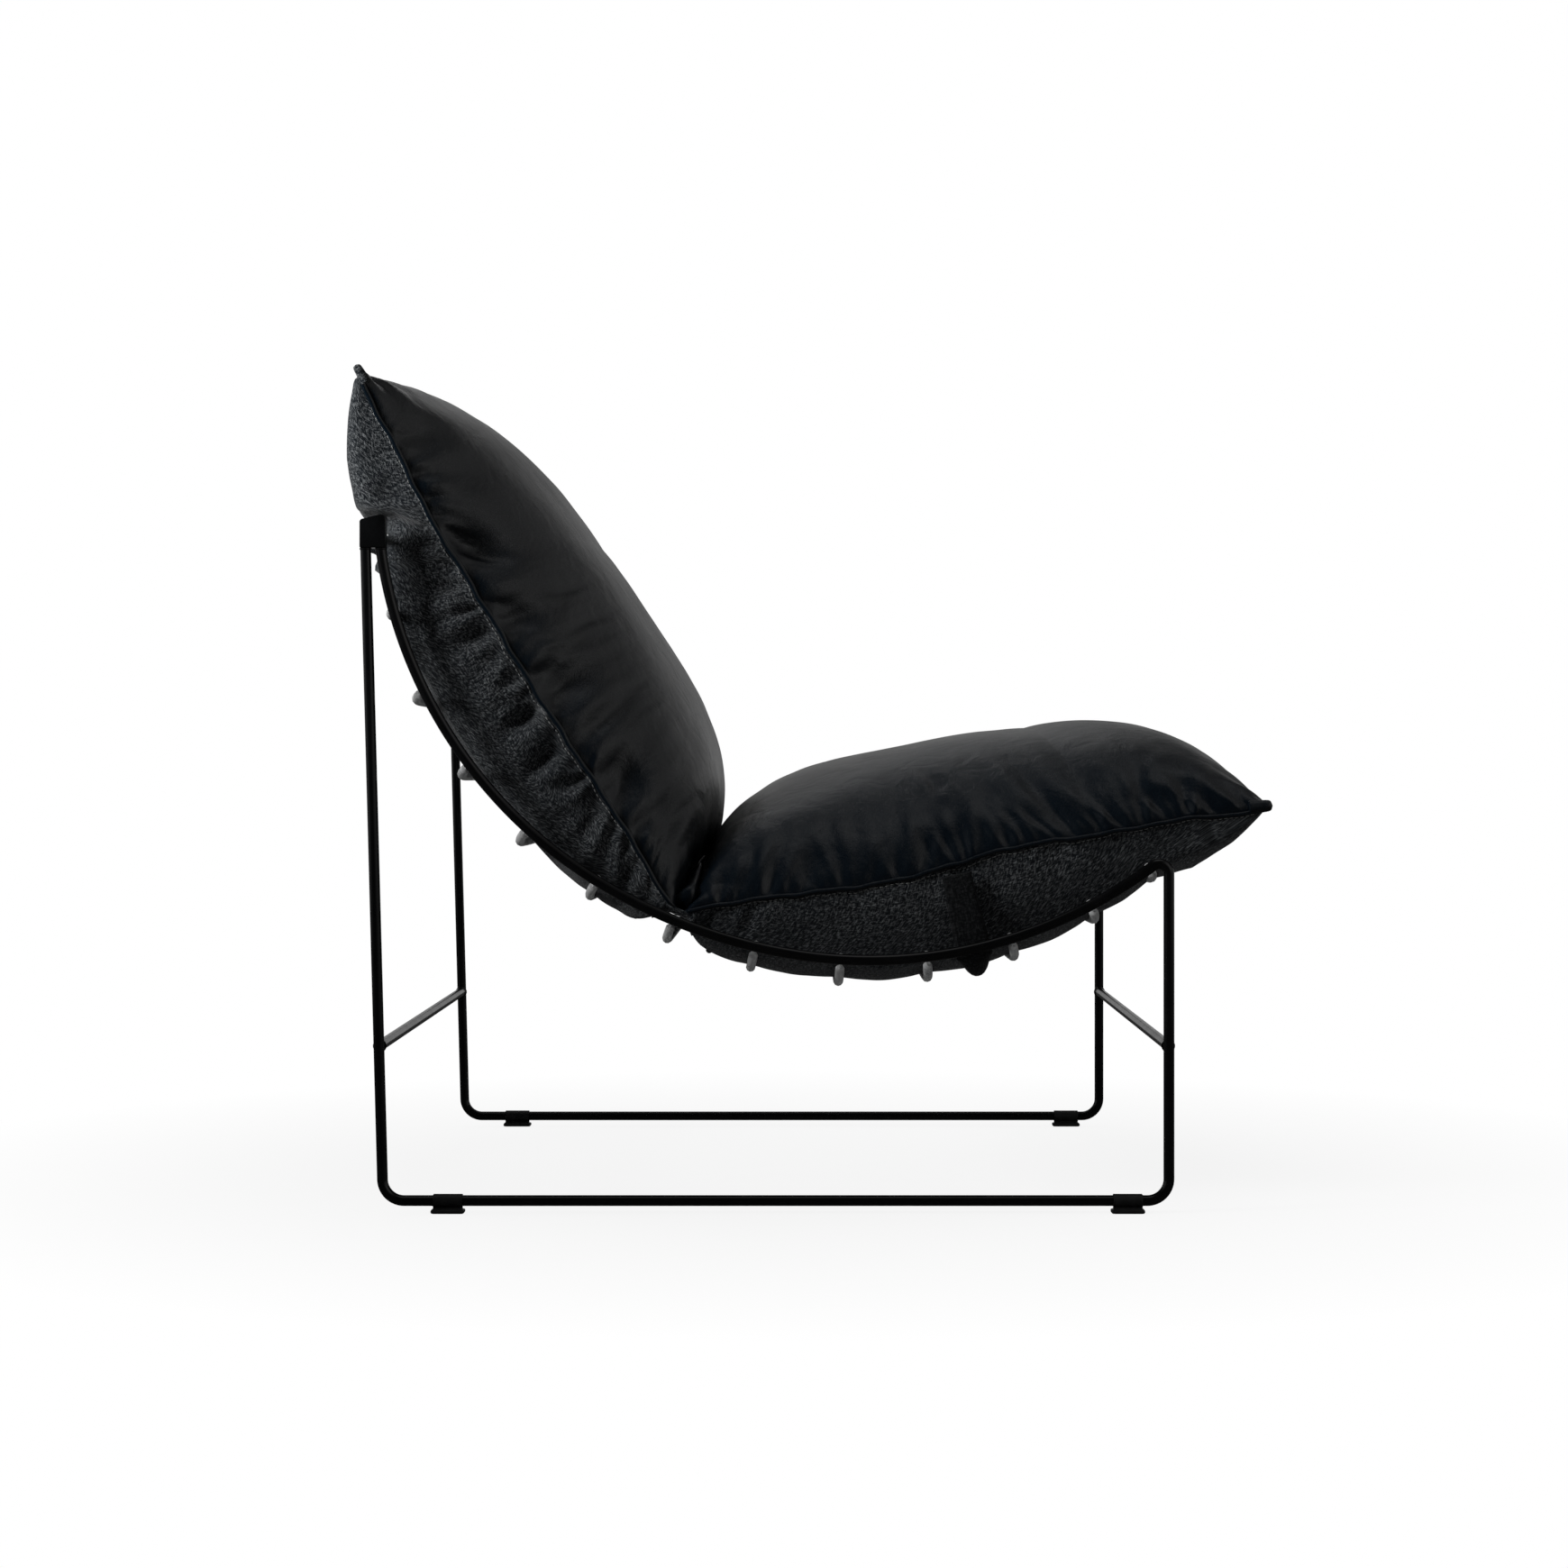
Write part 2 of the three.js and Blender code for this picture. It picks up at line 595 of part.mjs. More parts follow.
function underLimit(place, x) {
  const margin = FRONT_ROW_SHARE * (railLength + BEYOND_RAIL - creasePlace) + springRadius;
  const onSprings = place > springPlaces[0] - FIRST_ROW_LEAD && place < lastSpring + margin;
  return onSprings ? -(springSag(place, x) - springRadius - REST_GAP) : -BELLY_BULGE;
}

function pillowPoint(pillow, face, row, u, inset) {
  const { pull, half, side, face: mid } = rowOf(pillow, face, row, inset);
  const x = u * half;
  const end = row === 0 || row === pillow.seam.length - 1;
  const bow = 1 - u ** 6;
  const lift = face === "top" ? across(u, LEATHER_ACROSS) : across(u, FABRIC_ACROSS);
  const lifted = inset > COVER ? 0 : SEAM_GAP / 2; // the covers part at the seam, the filling doesn't
  const seamLift = face === "top" ? lifted : -lifted;
  if (end) {
    const place = THREE.MathUtils.lerp(side.along, mid.along, bow);
    return slingPoint(x, place, THREE.MathUtils.lerp(side.rise, mid.rise, bow) + seamLift);
  }
  const place = THREE.MathUtils.lerp(side.along, mid.along, lift);
  const sign = face === "top" ? 1 : -1;
  let rise = THREE.MathUtils.lerp(side.rise, mid.rise - sign * inset, lift) + seamLift;
  if (face === "belly") {
    rise = Math.max(rise, underLimit(place - pull, u * (half + inset)) + inset);
  }
  return slingPoint(x, place, rise);
}

function columnsOf(count) {
  return spaced(-1, 1, count).map((t) => Math.sin((Math.PI / 2) * t));
}

// A grid of points on one face of a pillow, as a list of rows.
function faceGrid(pillow, face, inset, columns) {
  return pillow.seam.map((_, row) => columnsOf(columns).map((u) => pillowPoint(pillow, face, row, u, inset)));
}

class FaceList {
  constructor() {
    this.positions = [];
  }

  triangle(a, b, c) {
    for (const p of [a, b, c]) {
      this.positions.push(p.x, p.y, p.z);
    }
  }

  // The diagonal stays the same when a face is flipped, so that a shell's two sides run parallel.
  quad([a, b, c, d], flip) {
    if (flip) {
      this.triangle(a, c, b);
      this.triangle(a, d, c);
    } else {
      this.triangle(a, b, c);
      this.triangle(a, c, d);
    }
  }

  grid(points, flip) {
    for (let i = 0; i < points.length - 1; i++) {
      for (let j = 0; j < points[i].length - 1; j++) {
        this.quad([points[i][j], points[i][j + 1], points[i + 1][j + 1], points[i + 1][j]], flip);
      }
    }
  }

  geometry() {
    const geometry = new THREE.BufferGeometry();
    geometry.setAttribute("position", new THREE.Float32BufferAttribute(this.positions, 3));
    geometry.computeVertexNormals();
    return geometry;
  }
}

// The outermost points of a grid, once round.
function rimOf(points) {
  const rows = points.length - 1;
  const columns = points[0].length - 1;
  const rim = [];
  for (let j = 0; j < columns; j++) {
    rim.push(points[0][j]);
  }
  for (let i = 0; i < rows; i++) {
    rim.push(points[i][columns]);
  }
  for (let j = columns; j > 0; j--) {
    rim.push(points[rows][j]);
  }
  for (let i = rows; i > 0; i--) {
    rim.push(points[i][0]);
  }
  return rim;
}

function joinRims(faces, outer, inner, flip) {
  for (let i = 0; i < outer.length; i++) {
    const next = (i + 1) % outer.length;
    faces.quad([outer[i], outer[next], inner[next], inner[i]], flip);
  }
}

function coverPanel(pillow, face) {
  const outer = faceGrid(pillow, face, 0, COLUMNS);
  const inner = faceGrid(pillow, face, COVER, COLUMNS);
  const faces = new FaceList();
  const top = face === "top";
  faces.grid(outer, top);
  faces.grid(inner, !top);
  joinRims(faces, rimOf(outer), rimOf(inner), !top);
  return faces.geometry();
}

function filling(pillow) {
  const inset = COVER + COVER_GAP;
  const top = faceGrid(pillow, "top", inset, COLUMNS);
  const belly = faceGrid(pillow, "belly", inset, COLUMNS);
  const faces = new FaceList();
  faces.grid(top, true);
  faces.grid(belly, false);
  return faces.geometry();
}

// Piping: a cord in the seam, round the pillow's edge, whose two ends meet at the middle of the crease.
function piping(pillow, breakRow) {
  const reach = PIPING_DIAMETER / 2 + PIPING_GAP;
  const rows = pillow.seam.length - 1;
  const us = columnsOf(COLUMNS);
  const edge = (row, u) => {
    const { half, side, face: mid } = rowOf(pillow, "top", row, 0);
    const bow = row === 0 || row === rows ? 1 - u ** 6 : 0;
    return {
      x: u * half,
      along: THREE.MathUtils.lerp(side.along, mid.along, bow),
      rise: THREE.MathUtils.lerp(side.rise, mid.rise, bow),
    };
  };
  const points = [];
  const put = ({ x, along: place, rise }, outX, outAlong) => {
    points.push(slingPoint(x + outX * reach, place + outAlong * reach, rise));
  };
  const farRow = rows - breakRow;
  const out = breakRow === rows ? 1 : -1;
  const slant = Math.SQRT1_2;
  const half = us.length >> 1;
  const breakPoint = edge(breakRow, 0);
  put({ ...breakPoint, x: PIPING_BREAK / 2 }, 0, out);
  us.slice(half + 1).forEach((u) => put(edge(breakRow, u), 0, out));
  put(edge(breakRow, 1), slant, out * slant);
  const sideRows = spaced(breakRow, farRow, rows).map((row) => Math.round(row));
  sideRows.forEach((row) => put(edge(row, 1), 1, 0));
  put(edge(farRow, 1), slant, -out * slant);
  [...us].reverse().forEach((u) => put(edge(farRow, u), 0, -out));
  put(edge(farRow, -1), -slant, -out * slant);
  [...sideRows].reverse().forEach((row) => put(edge(row, -1), -1, 0));
  put(edge(breakRow, -1), -slant, out * slant);
  us.slice(0, half).forEach((u) => put(edge(breakRow, u), 0, out));
  put({ ...breakPoint, x: -PIPING_BREAK / 2 }, 0, out);
  return rod(points, PIPING_DIAMETER / 2, WIRE_SIDES);
}

// The fabric tunnel round the top bar: a tube wall that closes on itself.
function tunnel() {
  const sides = 12;
  const half = railInside - TUNNEL_END;
  const ring = (radius) => roundSection(radius, sides).getPoints();
  const section = roundSection(TUNNEL_RADIUS, sides);
  section.holes.push(new THREE.Path(ring(TUNNEL_RADIUS - TUNNEL_WALL)));
  const geometry = new THREE.ExtrudeGeometry(section, { depth: 2 * half, bevelEnabled: false });
  geometry.translate(0, 0, -half);
  geometry.rotateY(Math.PI / 2);
  geometry.translate(0, tunnelCentre.y, tunnelCentre.z);
  return geometry;
}

// A strap: down the cushion's side, inside the rail, and tucked up under the belly in a round loop.
function strap(side) {
  const wall = railInside - JOINT_GAP - STRAP_THICKNESS / 2;
  const tuck = STRAP_TUCK / 2;
  const route = [[wall, STRAP_RISE], [wall, STRAP_RISE / 2], [wall, 0]];
  for (const angle of spaced(0, Math.PI, 8)) {
    route.push([wall - tuck + tuck * Math.cos(angle), -(STRAP_DROP - tuck) - tuck * Math.sin(angle)]);
  }
  const section = new THREE.Shape([
    new THREE.Vector2(-STRAP_THICKNESS / 2, -STRAP_WIDTH / 2),
    new THREE.Vector2(STRAP_THICKNESS / 2, -STRAP_WIDTH / 2),
    new THREE.Vector2(STRAP_THICKNESS / 2, STRAP_WIDTH / 2),
    new THREE.Vector2(-STRAP_THICKNESS / 2, STRAP_WIDTH / 2),
  ]);
  const frame = slingAt(strapPlace);
  const flat = new FaceList();
  const rings = route.map(([x, rise], i) => {
    const before = route[Math.max(i - 1, 0)];
    const after = route[Math.min(i + 1, route.length - 1)];
    const length = Math.hypot(after[0] - before[0], after[1] - before[1]);
    const normal = [(after[1] - before[1]) / length, -(after[0] - before[0]) / length];
    return section.getPoints().map((corner) => {
      const px = side * (x + corner.x * normal[0]);
      const up = rise + corner.x * normal[1];
      const point = slingPoint(px, strapPlace, up);
      point.y += Math.cos(frame.heading) * corner.y;
      point.z += Math.sin(frame.heading) * corner.y;
      return point;
    });
  });
  const turned = side === LEFT;
  for (let i = 0; i < rings.length - 1; i++) {
    for (let k = 0; k < 4; k++) {
      const next = (k + 1) % 4;
      flat.quad([rings[i][k], rings[i][next], rings[i + 1][next], rings[i + 1][k]], turned);
    }
  }
  flat.quad(rings[0], !turned);
  flat.quad(rings[rings.length - 1], turned);
  return flat.geometry();
}

// A zip on the belly of a pillow, a little way from the crease.
function zip(pillow, towards) {
  const place = creasePlace + towards * ZIP_TO_CREASE;
  const rows = pillow.belly.length - 1;
  const outline = pillow.seam.map((_, row) => pillowPoint(pillow, "belly", row, 0, 0));
  const wanted = slingPoint(0, place, 0);
  let best = { distance: Infinity };
  for (let i = 0; i < rows; i++) {
    const line = new THREE.Line3(outline[i], outline[i + 1]);
    const foot = line.closestPointToPoint(wanted, true, new THREE.Vector3());
    const distance = foot.distanceTo(wanted);
    if (distance < best.distance) {
      best = { distance, foot, line };
    }
  }
  const direction = best.line.delta(new THREE.Vector3()).normalize();
  const outward = new THREE.Vector3(0, direction.z, -direction.y);
  if (outward.dot(best.foot.clone().sub(slingPoint(0, place, ABOVE_RAIL))) < 0) {
    outward.negate();
  }
  const geometry = new THREE.BoxGeometry(2 * (railInside - ZIP_END), ZIP_WIDTH, ZIP_THICKNESS);
  geometry.rotateX(Math.atan2(direction.z, direction.y));
  const centre = best.foot.clone().addScaledVector(outward, ZIP_THICKNESS / 2 + JOINT_GAP);
  geometry.translate(0, centre.y, centre.z);
  return geometry;
}

// The strip that joins the pillows, just under the two cords in the crease.
function creaseStrip() {
  const backSeam = pillows.back.seam[pillows.back.seam.length - 1];
  const lower = Math.min(backSeam[1] * BACK_CROWN, pillows.seat.seam[0][1] * SEAT_CROWN);
  const rise = lower - PIPING_DIAMETER / 2 - JOINT_GAP - CREASE_STRIP_THICKNESS / 2;
  const middle = slingPoint(0, creasePlace, rise);
  const length = 2 * (railInside - CREASE_STRIP_END);
  const geometry = new THREE.BoxGeometry(length, CREASE_STRIP_WIDTH, CREASE_STRIP_THICKNESS);
  geometry.rotateX(slingAt(creasePlace).heading);
  geometry.translate(middle.x, middle.y, middle.z);
  return geometry;
}

for (const [name, side] of Object.entries(SIDES)) {
  addPiece(`side_loop_${name}`, sideLoop(side), steelBlack);
  addPiece(`rear_top_block_${name}`, topBlock(side), steelBlack);
  addPiece(`glide_rear_${name}`, glide(side, legYAt(runnerHeight) - REAR_GLIDE_PLACE), plasticBlack);
  addPiece(`glide_front_${name}`, glide(side, frontLegY + FRONT_GLIDE_PLACE), plasticBlack);
  addPiece(`cushion_strap_${name}`, strap(side), fabricCharcoal);
}
addPiece("rear_top_crossbar", topBar(), steelBlack);
addPiece("rear_lower_crossbar", lowerBar(legYAt(LOWER_BAR_HEIGHT), REAR_LEG_LEAN), steelBlack);
addPiece("front_lower_crossbar", lowerBar(frontLegY, 0), steelBlack);

springPlaces.forEach((place, i) => {
  addPiece(`spring_${String(i + 1).padStart(2, "0")}`, spring(place), springSteel);
});

for (const [name, pillow] of Object.entries(pillows)) {
  addPiece(`${name}_leather_panel`, coverPanel(pillow, "top"), leatherBlack);
  addPiece(`${name}_fabric_panel`, coverPanel(pillow, "belly"), fabricCharcoal);
  addPiece(`${name}_filling`, filling(pillow), fillingWhite);
}
addPiece("back_piping", piping(pillows.back, pillows.back.seam.length - 1), leatherBlack);
addPiece("seat_piping", piping(pillows.seat, 0), leatherBlack);
addPiece("crease_strip", creaseStrip(), fabricCharcoal);
addPiece("back_zip", zip(pillows.back, -1), zipBlack);
addPiece("seat_zip", zip(pillows.seat, 1), zipBlack);
addPiece("hanging_tunnel", tunnel(), fabricCharcoal);

// The origin is on the floor, under the middle of the chair.
const bounds = new THREE.Box3().setFromObject(chair);
chair.position.y = -(bounds.min.y + bounds.max.y) / 2;

export default chair;
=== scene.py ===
# A leather sling lounge chair, dressed round its CAD frame. Metres, +Z up, the sitter faces -Y.
import math

import bmesh
import bpy
import numpy as np
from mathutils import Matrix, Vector


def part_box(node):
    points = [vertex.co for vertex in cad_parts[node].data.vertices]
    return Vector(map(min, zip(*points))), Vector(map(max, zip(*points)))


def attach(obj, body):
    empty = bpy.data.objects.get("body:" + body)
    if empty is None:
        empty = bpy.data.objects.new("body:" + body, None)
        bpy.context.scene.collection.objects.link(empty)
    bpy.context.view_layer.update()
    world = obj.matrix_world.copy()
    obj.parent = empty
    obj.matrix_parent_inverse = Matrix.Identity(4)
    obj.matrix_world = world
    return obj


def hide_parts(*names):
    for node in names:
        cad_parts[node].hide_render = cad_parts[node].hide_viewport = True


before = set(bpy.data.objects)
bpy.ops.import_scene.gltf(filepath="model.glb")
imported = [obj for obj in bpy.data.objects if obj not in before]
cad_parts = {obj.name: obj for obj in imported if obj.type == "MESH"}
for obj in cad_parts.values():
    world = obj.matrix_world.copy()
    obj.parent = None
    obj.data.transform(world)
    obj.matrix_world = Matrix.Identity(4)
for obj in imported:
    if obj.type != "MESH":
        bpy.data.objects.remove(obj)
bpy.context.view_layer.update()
BODY = "root"
SEED = 7
SIDES = {"right": -1, "left": 1}

# Frame sizes, as in the CAD model.
ROD_RADIUS = 0.005
HALF_FRAME = 0.350
RAIL_TOP_LEAN = math.radians(8.2)
BACK_ARC = (0.429, -math.radians(49.6))
SEAT_ARC = (0.494, -math.radians(24.4))
FRONT_ARC = (0.438, -math.radians(44.6))
FRONT_TOP_RADIUS = 0.009
FLOOR_BEND_RADIUS = 0.020
REAR_LEG_LEAN = math.radians(1.53)
LEG_TO_RAIL = 0.0143
RAIL_TIP_RADIUS = 0.025
BLOCK_CLEAR = 0.0005
SOLE_DROP = 0.0064
BEYOND_RAIL = 0.124
OVERHANG_DROOP = math.radians(20)
LOWER_BAR_HEIGHT = 0.154
RAIL_INSIDE = HALF_FRAME - ROD_RADIUS

# Springs and the studs that they hang on.
SPRING_RADIUS = 0.0045
WIRE_RADIUS = 0.001
WIRE_PITCH = 0.0021
EVEN_SPRINGS = 11
FIRST_SPRING = 0.0545
LAST_SPRING_BACKSET = 0.004
LAST_SPRING_INTERVAL = 0.064
SPRING_SAG = 0.0284
SPRING_SAG_SHARES = (0.4, 0.66, 0.68, 0.74, 0.78, 0.9, 0.95, 1, 0.96, 0.88, 0.77, 0.56)
SAG_WRAP = 0.030
STUD_RADIUS = 0.0025
STUD_LENGTH = 0.009
STUD_HEAD_RADIUS = 0.0038
STUD_HEAD_THICKNESS = 0.0014
EYE_CLEARANCE = 0.0004
EYE_PLACE = 0.0044
SPRING_BODY_START = 0.0125

# Pillows.
CUSHION_HALF = RAIL_INSIDE - 0.007
SIDE_DRAW_IN = 0.008
EDGE_DRAW_IN = 0.011
ABOVE_RAIL = 0.171
CREASE_SPRING = 5
CREASE_FORWARD = 0.0015
CREASE_GAP = 0.0106
BACK_CROWN = 0.209
SEAT_CROWN = 0.196
PIPING_RADIUS = 0.00225
REST_GAP = 0.0006
BULGE = 0.0034
LEATHER_THICK = 0.0016
JOIN_THICK = 0.0012
PIPING_LIMIT = RAIL_INSIDE - PIPING_RADIUS - 0.0004
SLEEVE_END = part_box("hanging_tunnel")[1].x + 0.004
PILLOW_ROWS = 132
PILLOW_COLUMNS = 113


def new_object(name, verts, faces, finish):
    """A mesh object with smooth faces and its finish, linked into the scene."""
    mesh = bpy.data.meshes.new(name)
    mesh.from_pydata([tuple(v) for v in verts], [], [tuple(f) for f in faces])
    mesh.validate()
    for polygon in mesh.polygons:
        polygon.use_smooth = True
    piece = bpy.data.objects.new(name, mesh)
    bpy.context.scene.collection.objects.link(piece)
    if finish is not None:
        mesh.materials.append(finish)
    return piece


def place(piece, slot, *nodes):
    """The piece rides on the chair and stands for its CAD nodes, which are hidden; the slot is not used.
    """
    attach(piece, BODY)
    if nodes:
        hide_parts(*nodes)
    return piece


def apply_modifiers(piece):
    """The piece's mesh becomes what its modifiers make of it."""
    graph = bpy.context.evaluated_depsgraph_get()
    mesh = bpy.data.meshes.new_from_object(piece.evaluated_get(graph))
    piece.modifiers.clear()
    old = piece.data
    piece.data = mesh
    mesh.name = piece.name
    bpy.data.meshes.remove(old)


def spaced(start, end, steps):
    """Values from start to end in even steps."""
    return [start + (end - start) * i / steps for i in range(steps + 1)]


def run_along(points, axis=0):
    """Distances along lines of points, from 0 at the first point of each line."""
    steps = np.linalg.norm(np.diff(points, axis=axis), axis=-1)
    start = np.zeros_like(np.take(steps, [0], axis=axis))
    return np.concatenate([start, np.cumsum(steps, axis=axis)], axis=axis)


def write_uv(piece, uv):
    """A UV map from one pair of values for each vertex."""
    mesh = piece.data
    layer = mesh.uv_layers.new(name="cloth")
    loops = np.zeros(len(mesh.loops), int)
    mesh.loops.foreach_get("vertex_index", loops)
    layer.data.foreach_set("uv", uv[loops].astype(np.float32).ravel())


def thicken(piece, thickness, offset):
    """A sheet gets its thickness, to one side or, with an offset of 0, to both."""
    solidify = piece.modifiers.new("thickness", "SOLIDIFY")
    solidify.thickness = thickness
    solidify.offset = offset
    apply_modifiers(piece)


class Shell:
    """Collects the vertices and faces of one or more closed surfaces."""

    def __init__(self):
        self.verts = []
        self.faces = []

    def tube(self, points, radius, sides, closed=False):
        """A round tube along points; radius is a number or one for each ring."""
        self.rings(tube_rings(points, radius, sides, closed), closed)

    def rings(self, rings, closed=False):
        """A surface from ring to ring, with a cap at each end or joined to itself."""
        start = len(self.verts)
        count = len(rings)
        sides = len(rings[0])
        for ring in rings:
            self.verts.extend([tuple(p) for p in ring])
        last = count if closed else count - 1
        for i in range(last):
            for k in range(sides):
                a = start + i * sides + k
                b = start + i * sides + (k + 1) % sides
                c = start + ((i + 1) % count) * sides + (k + 1) % sides
                d = start + ((i + 1) % count) * sides + k
                self.faces.append((a, b, c, d))
        if not closed:
            self.faces.append(tuple(start + k for k in reversed(range(sides))))
            self.faces.append(tuple(start + (count - 1) * sides + k for k in range(sides)))

    def object(self, name, finish):
        """The collected surfaces as one mesh object."""
        return new_object(name, self.verts, self.faces, finish)


def tube_rings(points, radius, sides, closed=False):
    """Rings of points round a path, without twist."""
    path = np.array(points, float)
    count = len(path)
    if closed:
        ahead = np.roll(path, -1, 0) - path
        behind = path - np.roll(path, 1, 0)
    else:
        ahead = np.vstack([path[1:] - path[:-1], path[-1:] - path[-2:-1]])
        behind = np.vstack([path[1:2] - path[0:1], path[1:] - path[:-1]])
    ahead /= np.linalg.norm(ahead, axis=1, keepdims=True)
    behind /= np.linalg.norm(behind, axis=1, keepdims=True)
    tangent = ahead + behind
    tangent /= np.linalg.norm(tangent, axis=1, keepdims=True)
    radii = np.broadcast_to(np.asarray(radius, float), (count,))
    across = np.cross(tangent[0], (1.0, 0.0, 0.0))
    if np.linalg.norm(across) < 0.1:
        across = np.cross(tangent[0], (0.0, 0.0, 1.0))
    across /= np.linalg.norm(across)
    angles = 2 * np.pi * (np.arange(sides) + 0.5) / sides
    rings = []
    for i in range(count):
        across = across - tangent[i] * np.dot(across, tangent[i])
        across /= np.linalg.norm(across)
        other = np.cross(tangent[i], across)
        ring = path[i] + radii[i] * (np.cos(angles)[:, None] * across + np.sin(angles)[:, None] * other)
        rings.append(ring)
    return rings


class Pen:
    """Draws lines and arcs in the side plane: y runs to the rear, z up."""

    def __init__(self, y, z, heading):
        self.y = y
        self.z = z
        self.heading = heading
        self.trace = [(y, z)]

    def line(self, length, steps):
        """A straight stretch in even steps."""
        for _ in range(steps):
            self.y += length / steps * math.cos(self.heading)
            self.z += length / steps * math.sin(self.heading)
            self.trace.append((self.y, self.z))

    def arc(self, radius, turn, steps):
        """An arc in even steps; a positive turn is to the left."""
        step = turn / steps
        chord = 2 * radius * math.sin(abs(step) / 2)
        for _ in range(steps):
            self.heading += step / 2
            self.y += chord * math.cos(self.heading)
            self.z += chord * math.sin(self.heading)
            self.heading += step / 2
            self.trace.append((self.y, self.z))


# The sling line: the rail's arcs, with a straight stretch above them and a drooping one in front.
block_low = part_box("rear_top_block_right")[0]
BLOCK_BOTTOM = block_low.z
RAIL_TIP_Y = block_low.y + ROD_RADIUS
RAIL_START_Y = RAIL_TIP_Y - RAIL_TIP_RADIUS * (1 - math.cos(RAIL_TOP_LEAN))
RAIL_START_Z = BLOCK_BOTTOM - BLOCK_CLEAR - RAIL_TIP_RADIUS * math.sin(RAIL_TOP_LEAN)
RAIL_START_HEADING = -math.pi / 2 - RAIL_TOP_LEAN
OVERHANG_ARC = (BEYOND_RAIL / OVERHANG_DROOP, OVERHANG_DROOP)
RAIL_LENGTH = sum(radius * abs(turn) for radius, turn in (BACK_ARC, SEAT_ARC, FRONT_ARC))


def sling_at(along):
    """Arrays of y, z and heading of the sling line at distances from the rail's top."""
    along = np.asarray(along, float)
    y = RAIL_START_Y + along * math.cos(RAIL_START_HEADING)
    z = RAIL_START_Z + along * math.sin(RAIL_START_HEADING)
    heading = np.full_like(along, RAIL_START_HEADING)
    start = 0.0
    start_y, start_z, start_heading = RAIL_START_Y, RAIL_START_Z, RAIL_START_HEADING
    arcs = (BACK_ARC, SEAT_ARC, FRONT_ARC, OVERHANG_ARC)
    for index, (radius, turn) in enumerate(arcs):
        length = radius * abs(turn)
        last = index == len(arcs) - 1
        part = along - start if last else np.minimum(along - start, length)
        turned = turn * part / length
        chord = 2 * radius * np.sin(np.abs(turned) / 2)
        here = along > start
        y = np.where(here, start_y + chord * np.cos(start_heading + turned / 2), y)
        z = np.where(here, start_z + chord * np.sin(start_heading + turned / 2), z)
        heading = np.where(here, start_heading + turned, heading)
        full = 2 * radius * math.sin(abs(turn) / 2)
        start_y += full * math.cos(start_heading + turn / 2)
        start_z += full * math.sin(start_heading + turn / 2)
        start_heading += turn
        start += length
    return y, z, heading


def sling_point(x, along, rise):
    """Points given across the chair, along the sling and above the sling line."""
    y, z, heading = sling_at(along)
    x = np.broadcast_to(np.asarray(x, float), np.broadcast(x, y, rise).shape)
    return np.stack([x, y + np.sin(heading) * rise, z - np.cos(heading) * rise], -1)


def spring_sag(along, x):
    """How far a spring lies below the rail's centre line."""
    last = len(SPRING_SAG_SHARES) - 1
    at = (np.asarray(along, float) - FIRST_SPRING) / (LAST_SPRING - FIRST_SPRING) * last
    share = np.interp(at, range(last + 1), SPRING_SAG_SHARES)
    inside = np.maximum(RAIL_INSIDE - np.abs(x), 0)
    return SPRING_SAG * share * (1 - np.exp(-inside / SAG_WRAP))


LAST_SPRING = RAIL_LENGTH - LAST_SPRING_BACKSET
SPRING_PLACES = spaced(FIRST_SPRING, LAST_SPRING - LAST_SPRING_INTERVAL, EVEN_SPRINGS - 1)
SPRING_PLACES.append(LAST_SPRING)
CREASE_PLACE = SPRING_PLACES[CREASE_SPRING] + CREASE_FORWARD
RUNNER_HEIGHT = SOLE_DROP + ROD_RADIUS
LEG_TOP_Y = RAIL_TIP_Y + LEG_TO_RAIL


def leg_y_at(z):
    """Where the rear leg's centre line is at a height."""
    return LEG_TOP_Y - (BLOCK_BOTTOM - z) * math.tan(REAR_LEG_LEAN)


# Materials.
def add_node(tree, kind, inputs, **settings):
    """A new shader node; each input is a value, or the output of another node that leads to it."""
    node = tree.nodes.new(f"ShaderNode{kind}")
    for name, value in settings.items():
        setattr(node, name, value)
    for key, value in inputs.items():
        if isinstance(value, bpy.types.NodeSocket):
            tree.links.new(value, node.inputs[key])
        else:
            node.inputs[key].default_value = value
    return node


def fix(shader, **inputs):
    """Fixed values for the shader's inputs; an underscore stands for a space."""
    for name, value in inputs.items():
        shader.inputs[name.replace("_", " ")].default_value = value


def noise(tree, vector, scale, detail=3.0, roughness=0.5, distortion=0.0):
    """Cloudy noise from 0 to 1."""
    facts = {"Scale": scale, "Detail": detail, "Roughness": roughness, "Distortion": distortion}
    return add_node(tree, "TexNoise", {"Vector": vector, **facts}).outputs["Fac"]


def cell_edges(tree, vector, scale):
    """Distance to the nearest edge between cells."""
    inputs = {"Vector": vector, "Scale": scale}
    return add_node(tree, "TexVoronoi", inputs, feature="DISTANCE_TO_EDGE").outputs["Distance"]


def stripes(tree, vector, scale, axis):
    """Slightly uneven waves along one axis, for the yarns of a weave."""
    facts = {"Scale": scale / 6.2832, "Distortion": 1.2, "Detail": 1.0, "Detail Scale": 1.0}
    return add_node(tree, "TexWave", {"Vector": vector, **facts}, bands_direction=axis).outputs["Fac"]


def stretched_noise(tree, vector, scales):
    """Noise with a scale of its own for each axis."""
    mapping = add_node(tree, "Mapping", {"Vector": vector, "Scale": scales})
    return noise(tree, mapping.outputs["Vector"], 1.0, 2.0, 0.6)


def map_range(tree, value, source, target):
    """The value's share of the source range, laid on the target range."""
    return add_node(tree, "MapRange", dict(enumerate((value, *source, *target)))).outputs[0]


def math_node(tree, operation, first, second):
    """The result of a sum, product or other operation on two values."""
    return add_node(tree, "Math", {0: first, 1: second}, operation=operation).outputs[0]


